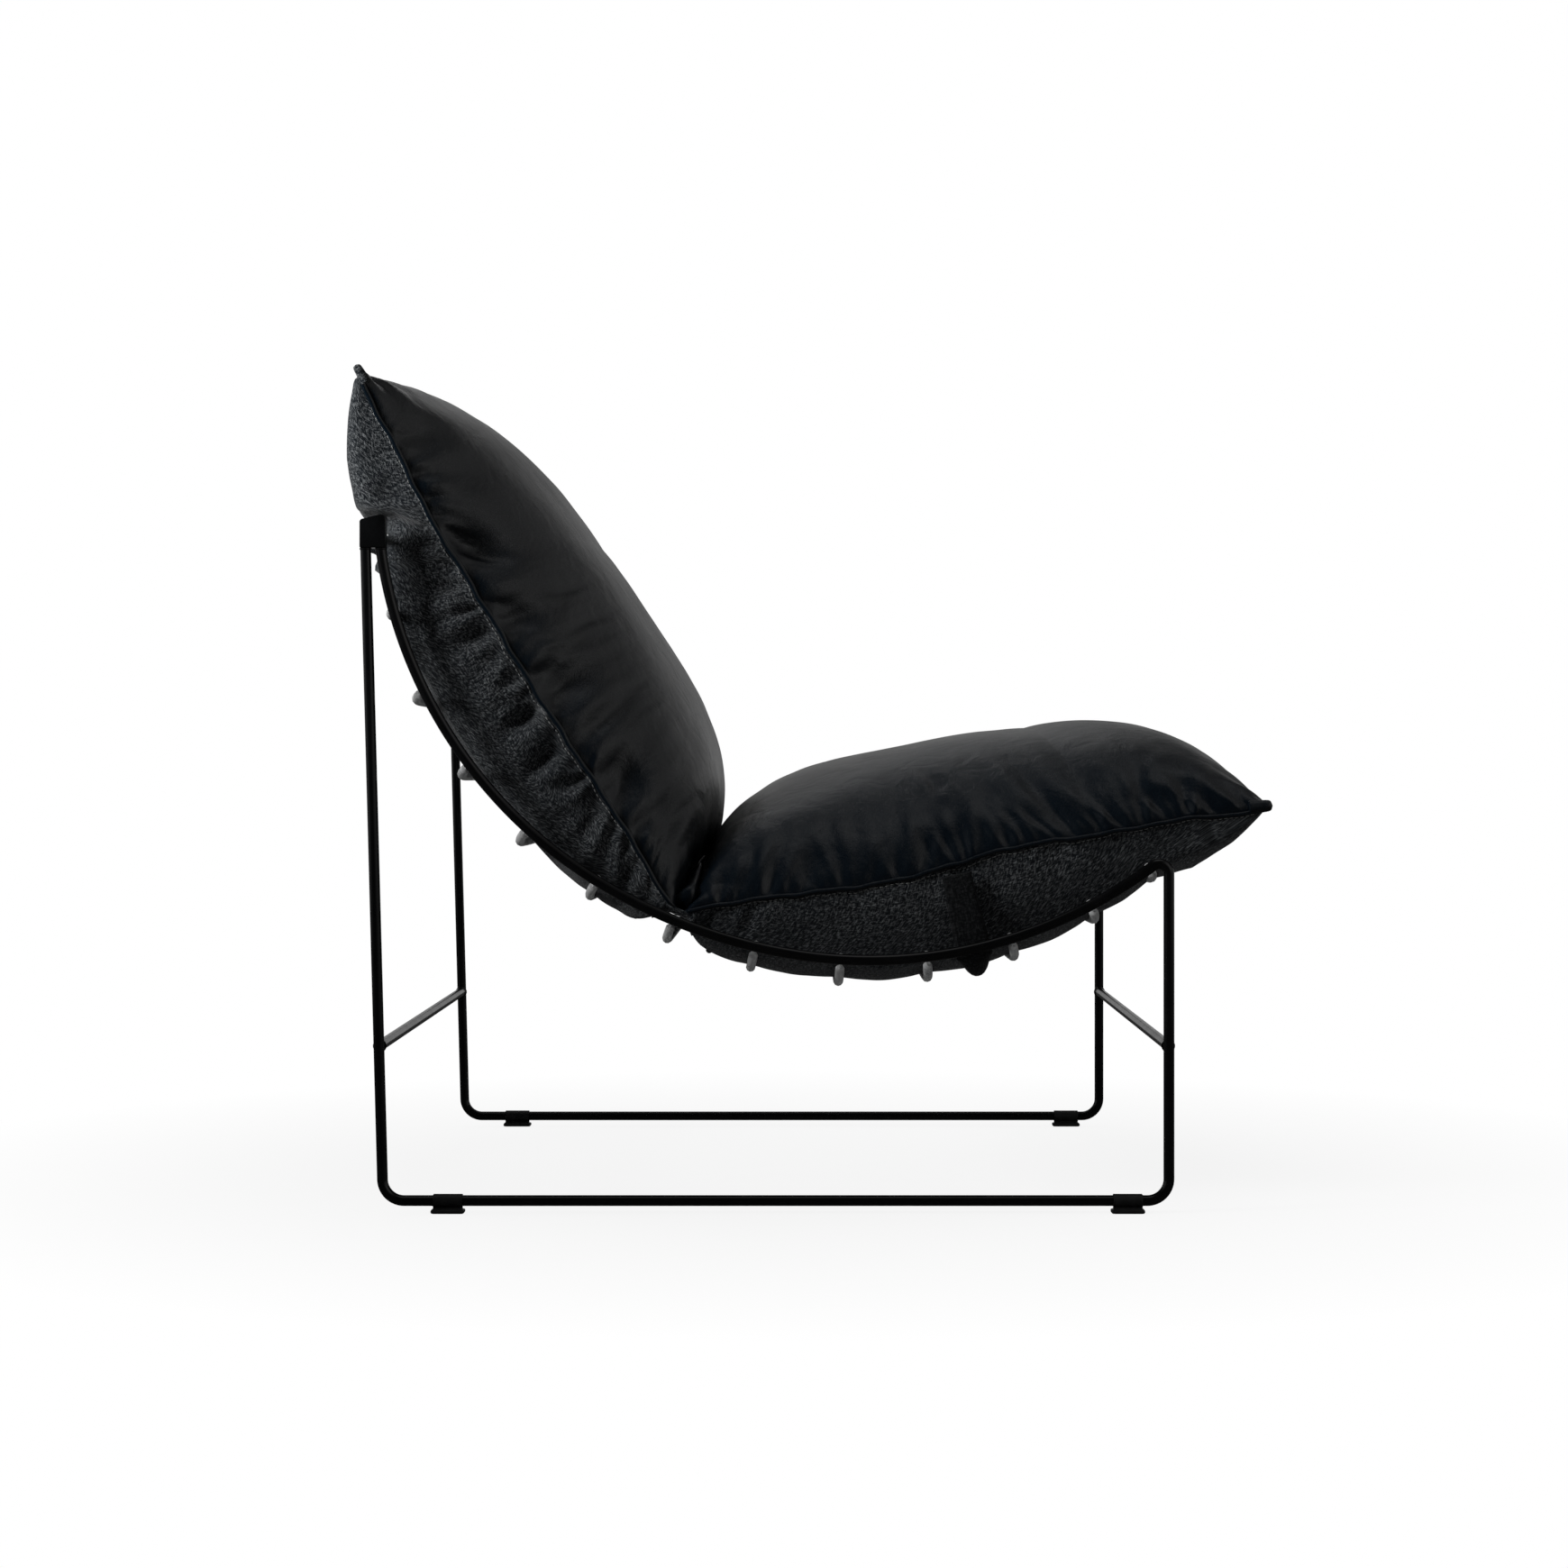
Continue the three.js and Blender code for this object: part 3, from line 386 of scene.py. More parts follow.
def mix_colour(tree, factor, first, second):
    """A colour between two others."""
    inputs = {0: factor}
    for index, value in ((6, first), (7, second)):
        inputs[index] = (*value, 1) if isinstance(value, tuple) else value
    return add_node(tree, "Mix", inputs, data_type="RGBA").outputs[2]


def bump(tree, shader, height, strength, distance, under=None):
    """Relief on the shader, over another relief if one is given."""
    inputs = {"Height": height, "Strength": strength, "Distance": distance}
    if under is not None:
        inputs["Normal"] = under
    relief = add_node(tree, "Bump", inputs).outputs["Normal"]
    tree.links.new(relief, shader.inputs["Normal"])
    return relief


def begun(name, coordinates="Object"):
    """A new material, its node tree, its shader and the coordinates that its pattern follows."""
    made = bpy.data.materials.new(name)
    made.use_nodes = True
    tree = made.node_tree
    spot = add_node(tree, "TexCoord", {}).outputs[coordinates]
    return made, tree, tree.nodes["Principled BSDF"], spot


def tint(tree, shader, factor, first, second):
    """The colour runs from the first to the second as the factor rises."""
    tree.links.new(mix_colour(tree, factor, first, second), shader.inputs["Base Color"])


def vary(tree, shader, name, value, source, target):
    """One of the shader's inputs follows a value."""
    tree.links.new(map_range(tree, value, source, target), shader.inputs[name])


def black_leather():
    """Soft semi-gloss black leather: pebble grain, pull-up wrinkles and slightly duller patches."""
    made, tree, shader, spot = begun("black_leather")
    pebble = map_range(tree, cell_edges(tree, spot, 620), (0.0, 0.22), (0.0, 1.0))
    creases = noise(tree, spot, 95, detail=5, roughness=0.62, distortion=0.9)
    rumples = noise(tree, spot, 34, detail=3, roughness=0.5, distortion=0.6)
    patches = noise(tree, spot, 9, detail=3, roughness=0.55)
    fine = bump(tree, shader, pebble, strength=0.35, distance=0.00025)
    wrinkled = bump(tree, shader, creases, strength=0.32, distance=0.0011, under=fine)
    bump(tree, shader, rumples, strength=0.5, distance=0.0036, under=wrinkled)
    vary(tree, shader, "Roughness", patches, (0.3, 0.7), (0.28, 0.36))
    duller = map_range(tree, patches, (0.35, 0.7), (0, 1))
    tint(tree, shader, duller, (0.0008, 0.0021, 0.0038), (0.0014, 0.0031, 0.0052))
    fix(shader, Specular_IOR_Level=0.42)
    return made


def fabric(name, dark, light, contrast=1.0):
    """Melange weave: crossed yarns of two shades, with lighter flecks, from the piece's own UV map."""
    made, tree, shader, uv = begun(name, "UV")
    warp = stripes(tree, uv, 1500, "X")
    weft = stripes(tree, uv, 1350, "Y")
    weave = math_node(tree, "MAXIMUM", warp, weft)
    yarn_x = stretched_noise(tree, uv, (720, 250, 1))
    yarn_y = stretched_noise(tree, uv, (230, 640, 1))
    flecks = math_node(tree, "MULTIPLY", yarn_x, yarn_y)
    cloudy = noise(tree, uv, 240, detail=2, roughness=0.6)
    uneven = map_range(tree, cloudy, (0.36, 0.64), (0.62, 1.25))
    fleck_shade = map_range(tree, flecks, (0.21, 0.395), (0.0, contrast))
    shades = math_node(tree, "MULTIPLY", fleck_shade, uneven)
    blotch = noise(tree, uv, 14, detail=3, roughness=0.5)
    base = mix_colour(tree, shades, dark, light)
    worn = tuple(c * 1.5 for c in dark)
    tint(tree, shader, map_range(tree, blotch, (0.4, 0.8), (0.0, 0.55)), base, worn)
    fix(shader, Roughness=0.92, Specular_IOR_Level=0.12, Sheen_Weight=0.06, Sheen_Roughness=0.5)
    fuzz = math_node(tree, "ADD", weave, math_node(tree, "MULTIPLY", flecks, 1.5))
    bump(tree, shader, fuzz, strength=0.6, distance=0.0004)
    return made


def powder_coat():
    """Semi-gloss black powder coat with a fine orange peel."""
    made, tree, shader, spot = begun("black_powder_coat")
    peel = noise(tree, spot, 1400, detail=2)
    dust = noise(tree, spot, 40, detail=4, roughness=0.6)
    bump(tree, shader, peel, strength=0.06, distance=0.0001)
    vary(tree, shader, "Roughness", dust, (0.3, 0.7), (0.16, 0.23))
    dusty = map_range(tree, dust, (0.3, 0.8), (0, 1))
    tint(tree, shader, dusty, (0.0012, 0.0013, 0.0014), (0.0026, 0.0027, 0.0030))
    fix(shader, Specular_IOR_Level=0.32)
    return made


def spring_steel():
    """Grey spring wire under a thin film."""
    made, tree, shader, spot = begun("spring_steel")
    film = noise(tree, spot, 60, detail=4, roughness=0.6)
    filmed = map_range(tree, film, (0.3, 0.7), (0, 1))
    tint(tree, shader, filmed, (0.30, 0.305, 0.31), (0.46, 0.465, 0.46))
    vary(tree, shader, "Roughness", film, (0.3, 0.7), (0.26, 0.38))
    fix(shader, Metallic=0.3)
    return made


def moulded_plastic():
    """Matt black plastic with a sparked surface and scuffs."""
    made, tree, shader, spot = begun("glide_plastic")
    spark = noise(tree, spot, 2600, detail=2, roughness=0.6)
    scuffs = noise(tree, spot, 120, detail=4, roughness=0.6)
    bump(tree, shader, spark, strength=0.35, distance=0.00012)
    vary(tree, shader, "Roughness", scuffs, (0.3, 0.7), (0.46, 0.62))
    scuffed = map_range(tree, scuffs, (0.4, 0.8), (0, 1))
    tint(tree, shader, scuffed, (0.003, 0.003, 0.0032), (0.008, 0.008, 0.0085))
    return made


def grained(name, first, second, scale, detail, grain, roughness, strength, distance):
    """A plain material of two close shades that follow the same noise as its relief."""
    made, tree, shader, spot = begun(name)
    relief = noise(tree, spot, scale, detail, grain)
    tint(tree, shader, relief, first, second)
    fix(shader, Roughness=roughness)
    bump(tree, shader, relief, strength, distance)
    return made


LEATHER = black_leather()
FABRIC = fabric("charcoal_fabric", (0.0020, 0.0029, 0.0040), (0.086, 0.091, 0.094))
TAPE = fabric("zip_tape", (0.003, 0.003, 0.0034), (0.016, 0.016, 0.018), 0.8)
STEEL = powder_coat()
SPRING = spring_steel()
PLASTIC = moulded_plastic()
STRAP_CLOTH = fabric("strap_webbing", (0.0016, 0.0019, 0.0023), (0.019, 0.020, 0.021), 0.8)
THREAD = grained(
    "thread", (0.06, 0.062, 0.063), (0.17, 0.175, 0.17),
    scale=1800, detail=2, grain=0.6, roughness=0.6, strength=0.4, distance=0.0002,
)
COIL = grained(
    "zip_coil", (0.010, 0.010, 0.011), (0.024, 0.024, 0.026),
    scale=300, detail=3, grain=0.6, roughness=0.42, strength=0.2, distance=0.0001,
)
WADDING = grained(
    "wadding", (0.62, 0.60, 0.55), (0.85, 0.83, 0.78),
    scale=90, detail=5, grain=0.7, roughness=0.95, strength=0.5, distance=0.002,
)


# Side loops: one bent rod each, with the studs for the springs welded to its inner side.
def loop_trace():
    """The loop's centre line: the rail down and forward, the front leg, the runner and the rear leg."""
    pen = Pen(RAIL_TIP_Y, BLOCK_BOTTOM - BLOCK_CLEAR, -math.pi / 2)
    pen.arc(RAIL_TIP_RADIUS, -RAIL_TOP_LEAN, 4)
    pen.arc(*BACK_ARC, 48)
    pen.arc(*SEAT_ARC, 26)
    pen.arc(*FRONT_ARC, 44)
    pen.arc(FRONT_TOP_RADIUS, -math.pi / 2 - pen.heading, 20)
    pen.line(pen.z - RUNNER_HEIGHT - FLOOR_BEND_RADIUS, 4)
    pen.arc(FLOOR_BEND_RADIUS, math.pi / 2, 16)
    rear_turn = math.pi / 2 - REAR_LEG_LEAN
    tangent = FLOOR_BEND_RADIUS * math.tan(rear_turn / 2)
    pen.line(leg_y_at(RUNNER_HEIGHT) - tangent - pen.y, 4)
    pen.arc(FLOOR_BEND_RADIUS, rear_turn, 16)
    pen.line((BLOCK_BOTTOM - BLOCK_CLEAR - pen.z) / math.cos(REAR_LEG_LEAN), 4)
    return pen.trace


LOOP = loop_trace()
FRONT_LEG_Y = min(y for y, _ in LOOP)


def lathe(shell, profile, start, direction, sides=20):
    """A turned shape: profile is a list of distances along the axis and radii."""
    axis = np.array(direction, float)
    points = [np.array(start) + axis * distance for distance, _ in profile]
    nudged = [point + axis * 1e-6 * i for i, point in enumerate(points)]
    rings = []
    for ring, (_, radius), centre in zip(tube_rings(nudged, 1.0, sides), profile, nudged):
        rings.append([centre + (np.array(p) - centre) * radius for p in ring])
    shell.rings(rings)


def side_loop(name, side):
    """One bent rod, with the studs that carry the springs."""
    shell = Shell()
    shell.tube([(side * HALF_FRAME, y, z) for y, z in LOOP], ROD_RADIUS, 28)
    weld = 0.0011
    edge = 0.0003
    sunk = 0.001
    inner = STUD_LENGTH + sunk
    head = inner - STUD_HEAD_THICKNESS
    profile = [
        (0.0, STUD_RADIUS + weld), (0.0012, STUD_RADIUS + weld * 0.8), (0.0022, STUD_RADIUS),
        (head, STUD_RADIUS), (head, STUD_HEAD_RADIUS - edge), (head + edge, STUD_HEAD_RADIUS),
        (inner - edge, STUD_HEAD_RADIUS), (inner, STUD_HEAD_RADIUS - edge),
    ]
    for along in SPRING_PLACES:
        lathe(shell, profile, sling_point(side * (RAIL_INSIDE + sunk), along, 0.0), (-side, 0.0, 0.0))
    piece = shell.object(f"side_loop_rod_{name}", STEEL)
    sharpen(piece, 40)
    return place(piece, "black_steel", f"side_loop_{name}")


def sharpen(piece, degrees):
    """Edges that turn more than this stay sharp."""
    mesh = piece.data
    work = bmesh.new()
    work.from_mesh(mesh)
    work.normal_update()
    for edge in work.edges:
        if len(edge.link_faces) == 2 and edge.calc_face_angle(0) > math.radians(degrees):
            edge.smooth = False
    work.to_mesh(mesh)
    work.free()


def top_block(name, side):
    """The flat block that the rod's two ends are welded to, rounded at its corners."""
    low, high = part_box(f"rear_top_block_{name}")
    front_top = high.z - 0.0055
    corner = 0.004
    outline = [(low.y, low.z), (high.y, low.z), (high.y, front_top - 0.001)]
    outline.append((high.y - 0.0015, front_top + 0.0009))
    for angle in spaced(math.radians(78), math.radians(180), 6):
        y = low.y + corner + corner * math.cos(angle)
        outline.append((y, high.z - corner + corner * math.sin(angle)))
    shell = Shell()
    shell.rings([[(x, y, z) for y, z in outline] for x in (low.x, high.x)])
    bead = [(0.0, 0.0001), (0.0007, 0.0009), (0.0016, 0.0005), (0.0024, 0.0)]
    weld = [(down, ROD_RADIUS + swell) for down, swell in bead]
    for y in (RAIL_TIP_Y, LEG_TOP_Y):
        lathe(shell, weld, (side * HALF_FRAME, y, low.z + 0.0001), (0.0, 0.0, -1.0))
    piece = shell.object(f"top_block_{name}", STEEL)
    bevel = piece.modifiers.new("edges", "BEVEL")
    bevel.width = 0.0011
    bevel.segments = 3
    bevel.limit_method = "ANGLE"
    bevel.angle_limit = math.radians(50)
    bevel.harden_normals = False
    apply_modifiers(piece)
    for polygon in piece.data.polygons:
        polygon.use_smooth = True
    sharpen(piece, 35)
    return place(piece, "black_steel", f"rear_top_block_{name}")


def cross_bar(name, node, y, z, reach, bead):
    """A crossbar whose ends run into the legs, with a weld bead at each end."""
    shell = Shell()
    shell.tube([(x, y, z) for x in spaced(-reach, reach, 8)], ROD_RADIUS, 28)
    sunk = 0.0004
    profile = [
        (0.0, ROD_RADIUS + bead), (0.0008, ROD_RADIUS + bead), (0.0018, ROD_RADIUS + bead * 0.45),
        (0.003, ROD_RADIUS - 0.0001),
    ]
    for side in SIDES.values():
        lathe(shell, profile, (side * (reach - sunk), y, z), (-side, 0.0, 0.0))
    piece = shell.object(name, STEEL)
    sharpen(piece, 50)
    return place(piece, "black_steel", node)


def glide(name, node):
    """A clip that closes round the runner, on a flared sole with a grip groove."""
    low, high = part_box(node)
    centre_x = (low.x + high.x) / 2
    centre_y = (low.y + high.y) / 2
    inner = ROD_RADIUS + 0.0003
    outer = inner + 0.0012
    mouth = math.radians(25)
    start = math.pi / 2 - mouth
    sweep_angle = 2 * (math.pi - mouth)
    shell = Shell()
    clip_half = 0.0135
    sections = []
    steps = 28
    for radius, order in ((outer, 1), (inner, -1)):
        angles = [start - sweep_angle * i / steps for i in range(steps + 1)][::order]
        sections += [(radius * math.cos(a), radius * math.sin(a)) for a in angles]
    clip_rings = []
    for y in (centre_y + clip_half, centre_y - clip_half):
        clip_rings.append([(centre_x + px, y, RUNNER_HEIGHT + pz) for px, pz in sections])
    shell.rings(clip_rings)
    half = (high.x - low.x) / 2
    length = (high.y - low.y) / 2
    sole = 0.0032
    top = RUNNER_HEIGHT - outer + 0.0008
    levels = (
        (0.0, half - 0.0008, length - 0.0008), (0.0008, half, length), (sole - 0.0006, half, length),
        (sole, half - 0.0006, length - 0.0006), (sole + 0.0004, half * 0.78, clip_half),
        (top, inner * 0.8, clip_half),
    )
    rings = []
    for z, x_half, y_half in levels:
        radius = min(0.003, x_half * 0.5)
        ring = []
        for cx, cy, first in ((1, 1, 0), (-1, 1, 90), (-1, -1, 180), (1, -1, 270)):
            for angle in spaced(math.radians(first), math.radians(first + 90), 5):
                ring.append((
                    centre_x + cx * (x_half - radius) + radius * math.cos(angle),
                    centre_y + cy * (y_half - radius) + radius * math.sin(angle), z))
        rings.append(ring)
    shell.rings(rings)
    piece = shell.object(name, PLASTIC)
    sharpen(piece, 30)
    return place(piece, "glide_plastic", node)


for side_name, side_sign in SIDES.items():
    side_loop(side_name, side_sign)
    top_block(side_name, side_sign)
    glide(f"glide_clip_rear_{side_name}", f"glide_rear_{side_name}")
    glide(f"glide_clip_front_{side_name}", f"glide_front_{side_name}")
top_bar_low, top_bar_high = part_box("rear_top_crossbar")
TOP_BAR_Y = (top_bar_low.y + top_bar_high.y) / 2
TOP_BAR_Z = (top_bar_low.z + top_bar_high.z) / 2
TOP_BAR_REACH = HALF_FRAME - 0.0058
REAR_BAR_Y = leg_y_at(LOWER_BAR_HEIGHT)
cross_bar("top_bar", "rear_top_crossbar", TOP_BAR_Y, TOP_BAR_Z, TOP_BAR_REACH, 0.0012)
cross_bar("rear_bar", "rear_lower_crossbar", REAR_BAR_Y, LOWER_BAR_HEIGHT, RAIL_INSIDE, 0.0014)
cross_bar("front_bar", "front_lower_crossbar", FRONT_LEG_Y, LOWER_BAR_HEIGHT, RAIL_INSIDE, 0.0014)


# Tension springs: a close-wound body that sags a little, with a hook round the stud at each end.
def spring_path(along, xs):
    """Points of a spring's centre line."""
    xs = np.asarray(xs, float)
    return sling_point(xs, along, -spring_sag(along, xs))


def tension_spring(index, along):
    """One spring across the sling, its turns close-wound."""
    reach = RAIL_INSIDE - SPRING_BODY_START
    turns = int(2 * reach / WIRE_PITCH)
    per_turn = 4
    count = turns * per_turn
    sides = 10
    xs = np.linspace(-reach, reach, count + 1)
    path = spring_path(along, xs)
    shell = Shell()
    rings = np.array(tube_rings(path, 1.0, sides))
    offset = rings - path[:, None, :]
    ring_phase = 2 * np.pi * np.arange(count + 1) / per_turn
    side_phase = 2 * np.pi * np.arange(sides) / sides
    ridge = np.abs(np.cos((ring_phase[:, None] - side_phase[None, :]) / 2))
    groove = 0.0003
    radius = SPRING_RADIUS - groove + groove * ridge ** 0.6
    end_taper = 0.93
    radius[0] *= end_taper
    radius[-1] *= end_taper
    rings = path[:, None, :] + offset * radius[:, :, None]
    shell.rings(list(rings))
    for side in SIDES.values():
        spring_hook(shell, along, side)
    piece = shell.object(f"tension_spring_{index:02d}", SPRING)
    return place(piece, "spring_steel", f"spring_{index:02d}")


def spring_hook(shell, along, side):
    """The end turn: an eye round the stud, and a neck that leads to it from the spring's body."""
    eye_x = side * (RAIL_INSIDE - EYE_PLACE)
    eye = STUD_RADIUS + EYE_CLEARANCE + WIRE_RADIUS
    ring = []
    for angle in spaced(0, 2 * math.pi, 24)[:-1]:
        ring.append(sling_point(eye_x, along + eye * math.sin(angle), -eye * math.cos(angle)))
    shell.tube(ring, WIRE_RADIUS, 8, closed=True)
    knee_x = side * (RAIL_INSIDE - STUD_LENGTH - 0.0005)
    knee_drop = STUD_HEAD_RADIUS + EYE_CLEARANCE + WIRE_RADIUS
    body_start = side * (RAIL_INSIDE - SPRING_BODY_START)
    body = spring_path(along, [body_start, body_start - side * 0.004])
    foot = sling_point(eye_x, along, -eye)
    knee = sling_point(knee_x, along, -knee_drop)
    shell.tube(bezier([foot, knee, body[0], body[1]], 10), WIRE_RADIUS, 8)


def bezier(points, steps):
    """A smooth curve led by four points."""
    p = [np.array(q, float) for q in points]
    curve = []
    for t in spaced(0, 1, steps):
        s = 1 - t
        curve.append(s ** 3 * p[0] + 3 * s * s * t * p[1] + 3 * s * t * t * p[2] + t ** 3 * p[3])
    return curve


for number, spring_along in enumerate(SPRING_PLACES):
    tension_spring(number + 1, spring_along)


# Pillow outlines, each point as a share of the pillow's length and of its crown.
BACK_SEAM_SHARES = (
    (0, 0.01), (0.021, 0.024), (0.046, 0.048), (0.085, 0.087), (0.133, 0.137), (0.178, 0.182),
    (0.21, 0.21), (0.229, 0.228), (0.246, 0.246), (0.264, 0.268), (0.29, 0.297), (0.354, 0.354),
    (0.442, 0.4), (0.538, 0.417), (0.642, 0.409), (0.746, 0.367), (0.842, 0.292), (0.922, 0.19),
    (0.97, 0.1), (1, 0.053),
)
BACK_CROWN_SHARES = (
    (0, 0.04), (-0.006, 0.155), (0.008, 0.297), (0.042, 0.435), (0.09, 0.57), (0.14, 0.675),
    (0.188, 0.756), (0.22, 0.81), (0.252, 0.856), (0.28, 0.89), (0.316, 0.923), (0.38, 0.962),
    (0.454, 0.986), (0.544, 1), (0.642, 0.995), (0.74, 0.962), (0.838, 0.89), (0.94, 0.74),
    (1.0076, 0.46), (1, 0.053),
)
BACK_BELLY_SHARES = (
    (0, 0.04), (0.005, -0.026), (0.022, -0.060), (0.066, -0.108), (0.118, -0.142), (0.16, -0.148),
    (0.194, -0.130), (0.209, -0.045), (0.221, -0.0077), (0.246, -0.0077), (0.288, -0.09), (0.354, -0.14),
    (0.442, -0.14), (0.538, -0.14), (0.642, -0.14), (0.746, -0.14), (0.842, -0.14), (0.922, -0.12),
    (0.97, -0.06), (1, 0.053),
)
SEAT_SEAM_SHARES = (
    (0, 0.053), (0.03, 0.115), (0.08, 0.185), (0.15, 0.26), (0.23, 0.315), (0.31, 0.352),
    (0.39, 0.38), (0.47, 0.4), (0.55, 0.405), (0.63, 0.375), (0.705, 0.31), (0.772, 0.235),
    (0.802, 0.195), (0.845, 0.136), (0.89, 0.08), (0.935, 0.03), (0.97, 0.004), (1, 0),
)
SEAT_CROWN_SHARES = (
    (0, 0.053), (-0.0081, 0.49), (0.055, 0.718), (0.13, 0.845), (0.21, 0.92), (0.29, 0.967),
    (0.37, 0.991), (0.45, 1), (0.53, 0.999), (0.61, 0.98), (0.68, 0.945), (0.745, 0.888),
    (0.79, 0.835), (0.84, 0.752), (0.885, 0.652), (0.94, 0.51), (0.98, 0.32), (1, 0.02),
)
SEAT_BELLY_SHARES = (
    (0, 0.053), (0.03, -0.08), (0.08, -0.15), (0.15, -0.15), (0.23, -0.15), (0.31, -0.15),
    (0.39, -0.15), (0.47, -0.15), (0.55, -0.15), (0.63, -0.15), (0.71, -0.15), (0.787, -0.15),
    (0.817, -0.15), (0.855, -0.142), (0.89, -0.133), (0.935, -0.114), (0.98, -0.052), (1, 0.02),
)
LEATHER_ACROSS = (2.7, 0.52)
FABRIC_ACROSS = (8, 1 / 8)
SEAM_WANDER = 0.0008
STEP_AT_SEAM = 0.0035
STEP_IN_MIDDLE = 0.012
FINE_REACH = 0.10
WALL_HEIGHT = 0.10
SEAT_START = CREASE_PLACE + CREASE_GAP / 2
PILLOWS = {
    "back": {
        "start": -ABOVE_RAIL, "length": ABOVE_RAIL + CREASE_PLACE - CREASE_GAP / 2, "crown": BACK_CROWN,
        "seam": BACK_SEAM_SHARES, "top": BACK_CROWN_SHARES, "belly": BACK_BELLY_SHARES,
        "drawn": (EDGE_DRAW_IN, 0.0),
    },
    "seat": {
        "start": SEAT_START, "length": RAIL_LENGTH + BEYOND_RAIL - SEAT_START, "crown": SEAT_CROWN,
        "seam": SEAT_SEAM_SHARES, "top": SEAT_CROWN_SHARES, "belly": SEAT_BELLY_SHARES,
        "drawn": (0.0, EDGE_DRAW_IN),
    },
}


def through(table, at):
    """A smooth curve through the rows of a table, at places counted in rows (cubic, no corners)."""
    points = np.array(table, float)
    last = len(points) - 1
    slopes = np.gradient(points, axis=0)
    at = np.clip(np.asarray(at, float), 0, last)
    first = np.minimum(np.floor(at).astype(int), last - 1)
    t = (at - first)[:, None]
    a, b = points[first], points[first + 1]
    ma, mb = slopes[first], slopes[first + 1]
    h00 = 2 * t ** 3 - 3 * t ** 2 + 1
    h10 = t ** 3 - 2 * t ** 2 + t
    h01 = -2 * t ** 3 + 3 * t ** 2
    h11 = t ** 3 - t ** 2
    return h00 * a + h10 * ma + h01 * b + h11 * mb


def even_rows(pillow, count):
    """Row places that lie evenly along the seam and the crown together."""
    fine = np.linspace(0, len(pillow["seam"]) - 1, 1200)
    total = np.zeros(len(fine) - 1)
    for key in ("seam", "top"):
        shares = through(pillow[key], fine)
        along = pillow["start"] + shares[:, 0] * pillow["length"]
        line = sling_point(0.0, along, shares[:, 1] * pillow["crown"])
        total += np.linalg.norm(np.diff(line, axis=0), axis=1)
    distance = np.concatenate([[0], np.cumsum(total)])
    return np.interp(np.linspace(0, distance[-1], count), distance, fine)


def across_places(power, root, columns):
    """Places from -1 to 1 across a face, in small steps down its sides and larger ones in the middle."""
    inset = np.linspace(0, 1, 4001) ** 6
    lift = np.maximum(1 - (1 - inset) ** power, 0) ** root
    steps = np.hypot(CUSHION_HALF * np.diff(inset), WALL_HEIGHT * np.diff(lift))
    run = np.concatenate([[0], np.cumsum(steps)])
    wanted = STEP_AT_SEAM + (STEP_IN_MIDDLE - STEP_AT_SEAM) * (1 - np.exp(-(run[1:] / FINE_REACH) ** 2))
    count = np.concatenate([[0], np.cumsum(steps / wanted)])
    half = np.interp(np.linspace(0, count[-1], columns // 2 + 1), count, 1 - inset)
    return np.concatenate([-half, half[-2::-1]])


def pillow_grid(pillow, face, rows, columns):
    """Rows of points across one face of a pillow, from seam to seam, in sling coordinates."""
    at = even_rows(pillow, rows)
    seam = through(pillow["seam"], at)
    mid = through(pillow[face], at)
    length = pillow["length"]
    seam_along = pillow["start"] + seam[:, 0] * length
    seam_rise = seam[:, 1] * pillow["crown"]
    mid_along = pillow["start"] + mid[:, 0] * length
    mid_rise = mid[:, 1] * pillow["crown"]
    share = seam[:, 0]
    held = np.clip(16 * share * (1 - share), 0, 1)
    seam_rise = seam_rise + SEAM_WANDER * held * (np.sin(58 * share + 1) + 0.8 * np.sin(121 * share + 2))
    drawn = pillow["drawn"][0] * (1 - share) - pillow["drawn"][1] * share
    half = CUSHION_HALF - SIDE_DRAW_IN * 4 * share * (1 - share)
    power, root = LEATHER_ACROSS if face == "top" else FABRIC_ACROSS
    ends = np.minimum(np.arange(rows), np.arange(rows)[::-1])
    own = np.clip(ends / 4, 0, 1)[:, None]
    shared_places = across_places(*LEATHER_ACROSS, columns)
    u = shared_places * (1 - own) + across_places(power, root, columns) * own
    lift = np.maximum(1 - np.abs(u) ** power, 0) ** root
    flat = 1 - np.abs(u) ** 6
    end_weight = np.clip(1 - ends / 1.6, 0, 1)[:, None]
    blend = lift * (1 - end_weight) + flat * end_weight
    along = seam_along[:, None] + (mid_along - seam_along)[:, None] * blend
    along = along + drawn[:, None] * (1 - u * u)
    rise = seam_rise[:, None] + (mid_rise - seam_rise)[:, None] * blend
    return half[:, None] * u, along, rise


SPRING_TOUCH = 0.006
BULGE_REACH = 0.030
FREE_DEPTH = 0.026
END_DEPTH = 0.025
END_REST = 0.045


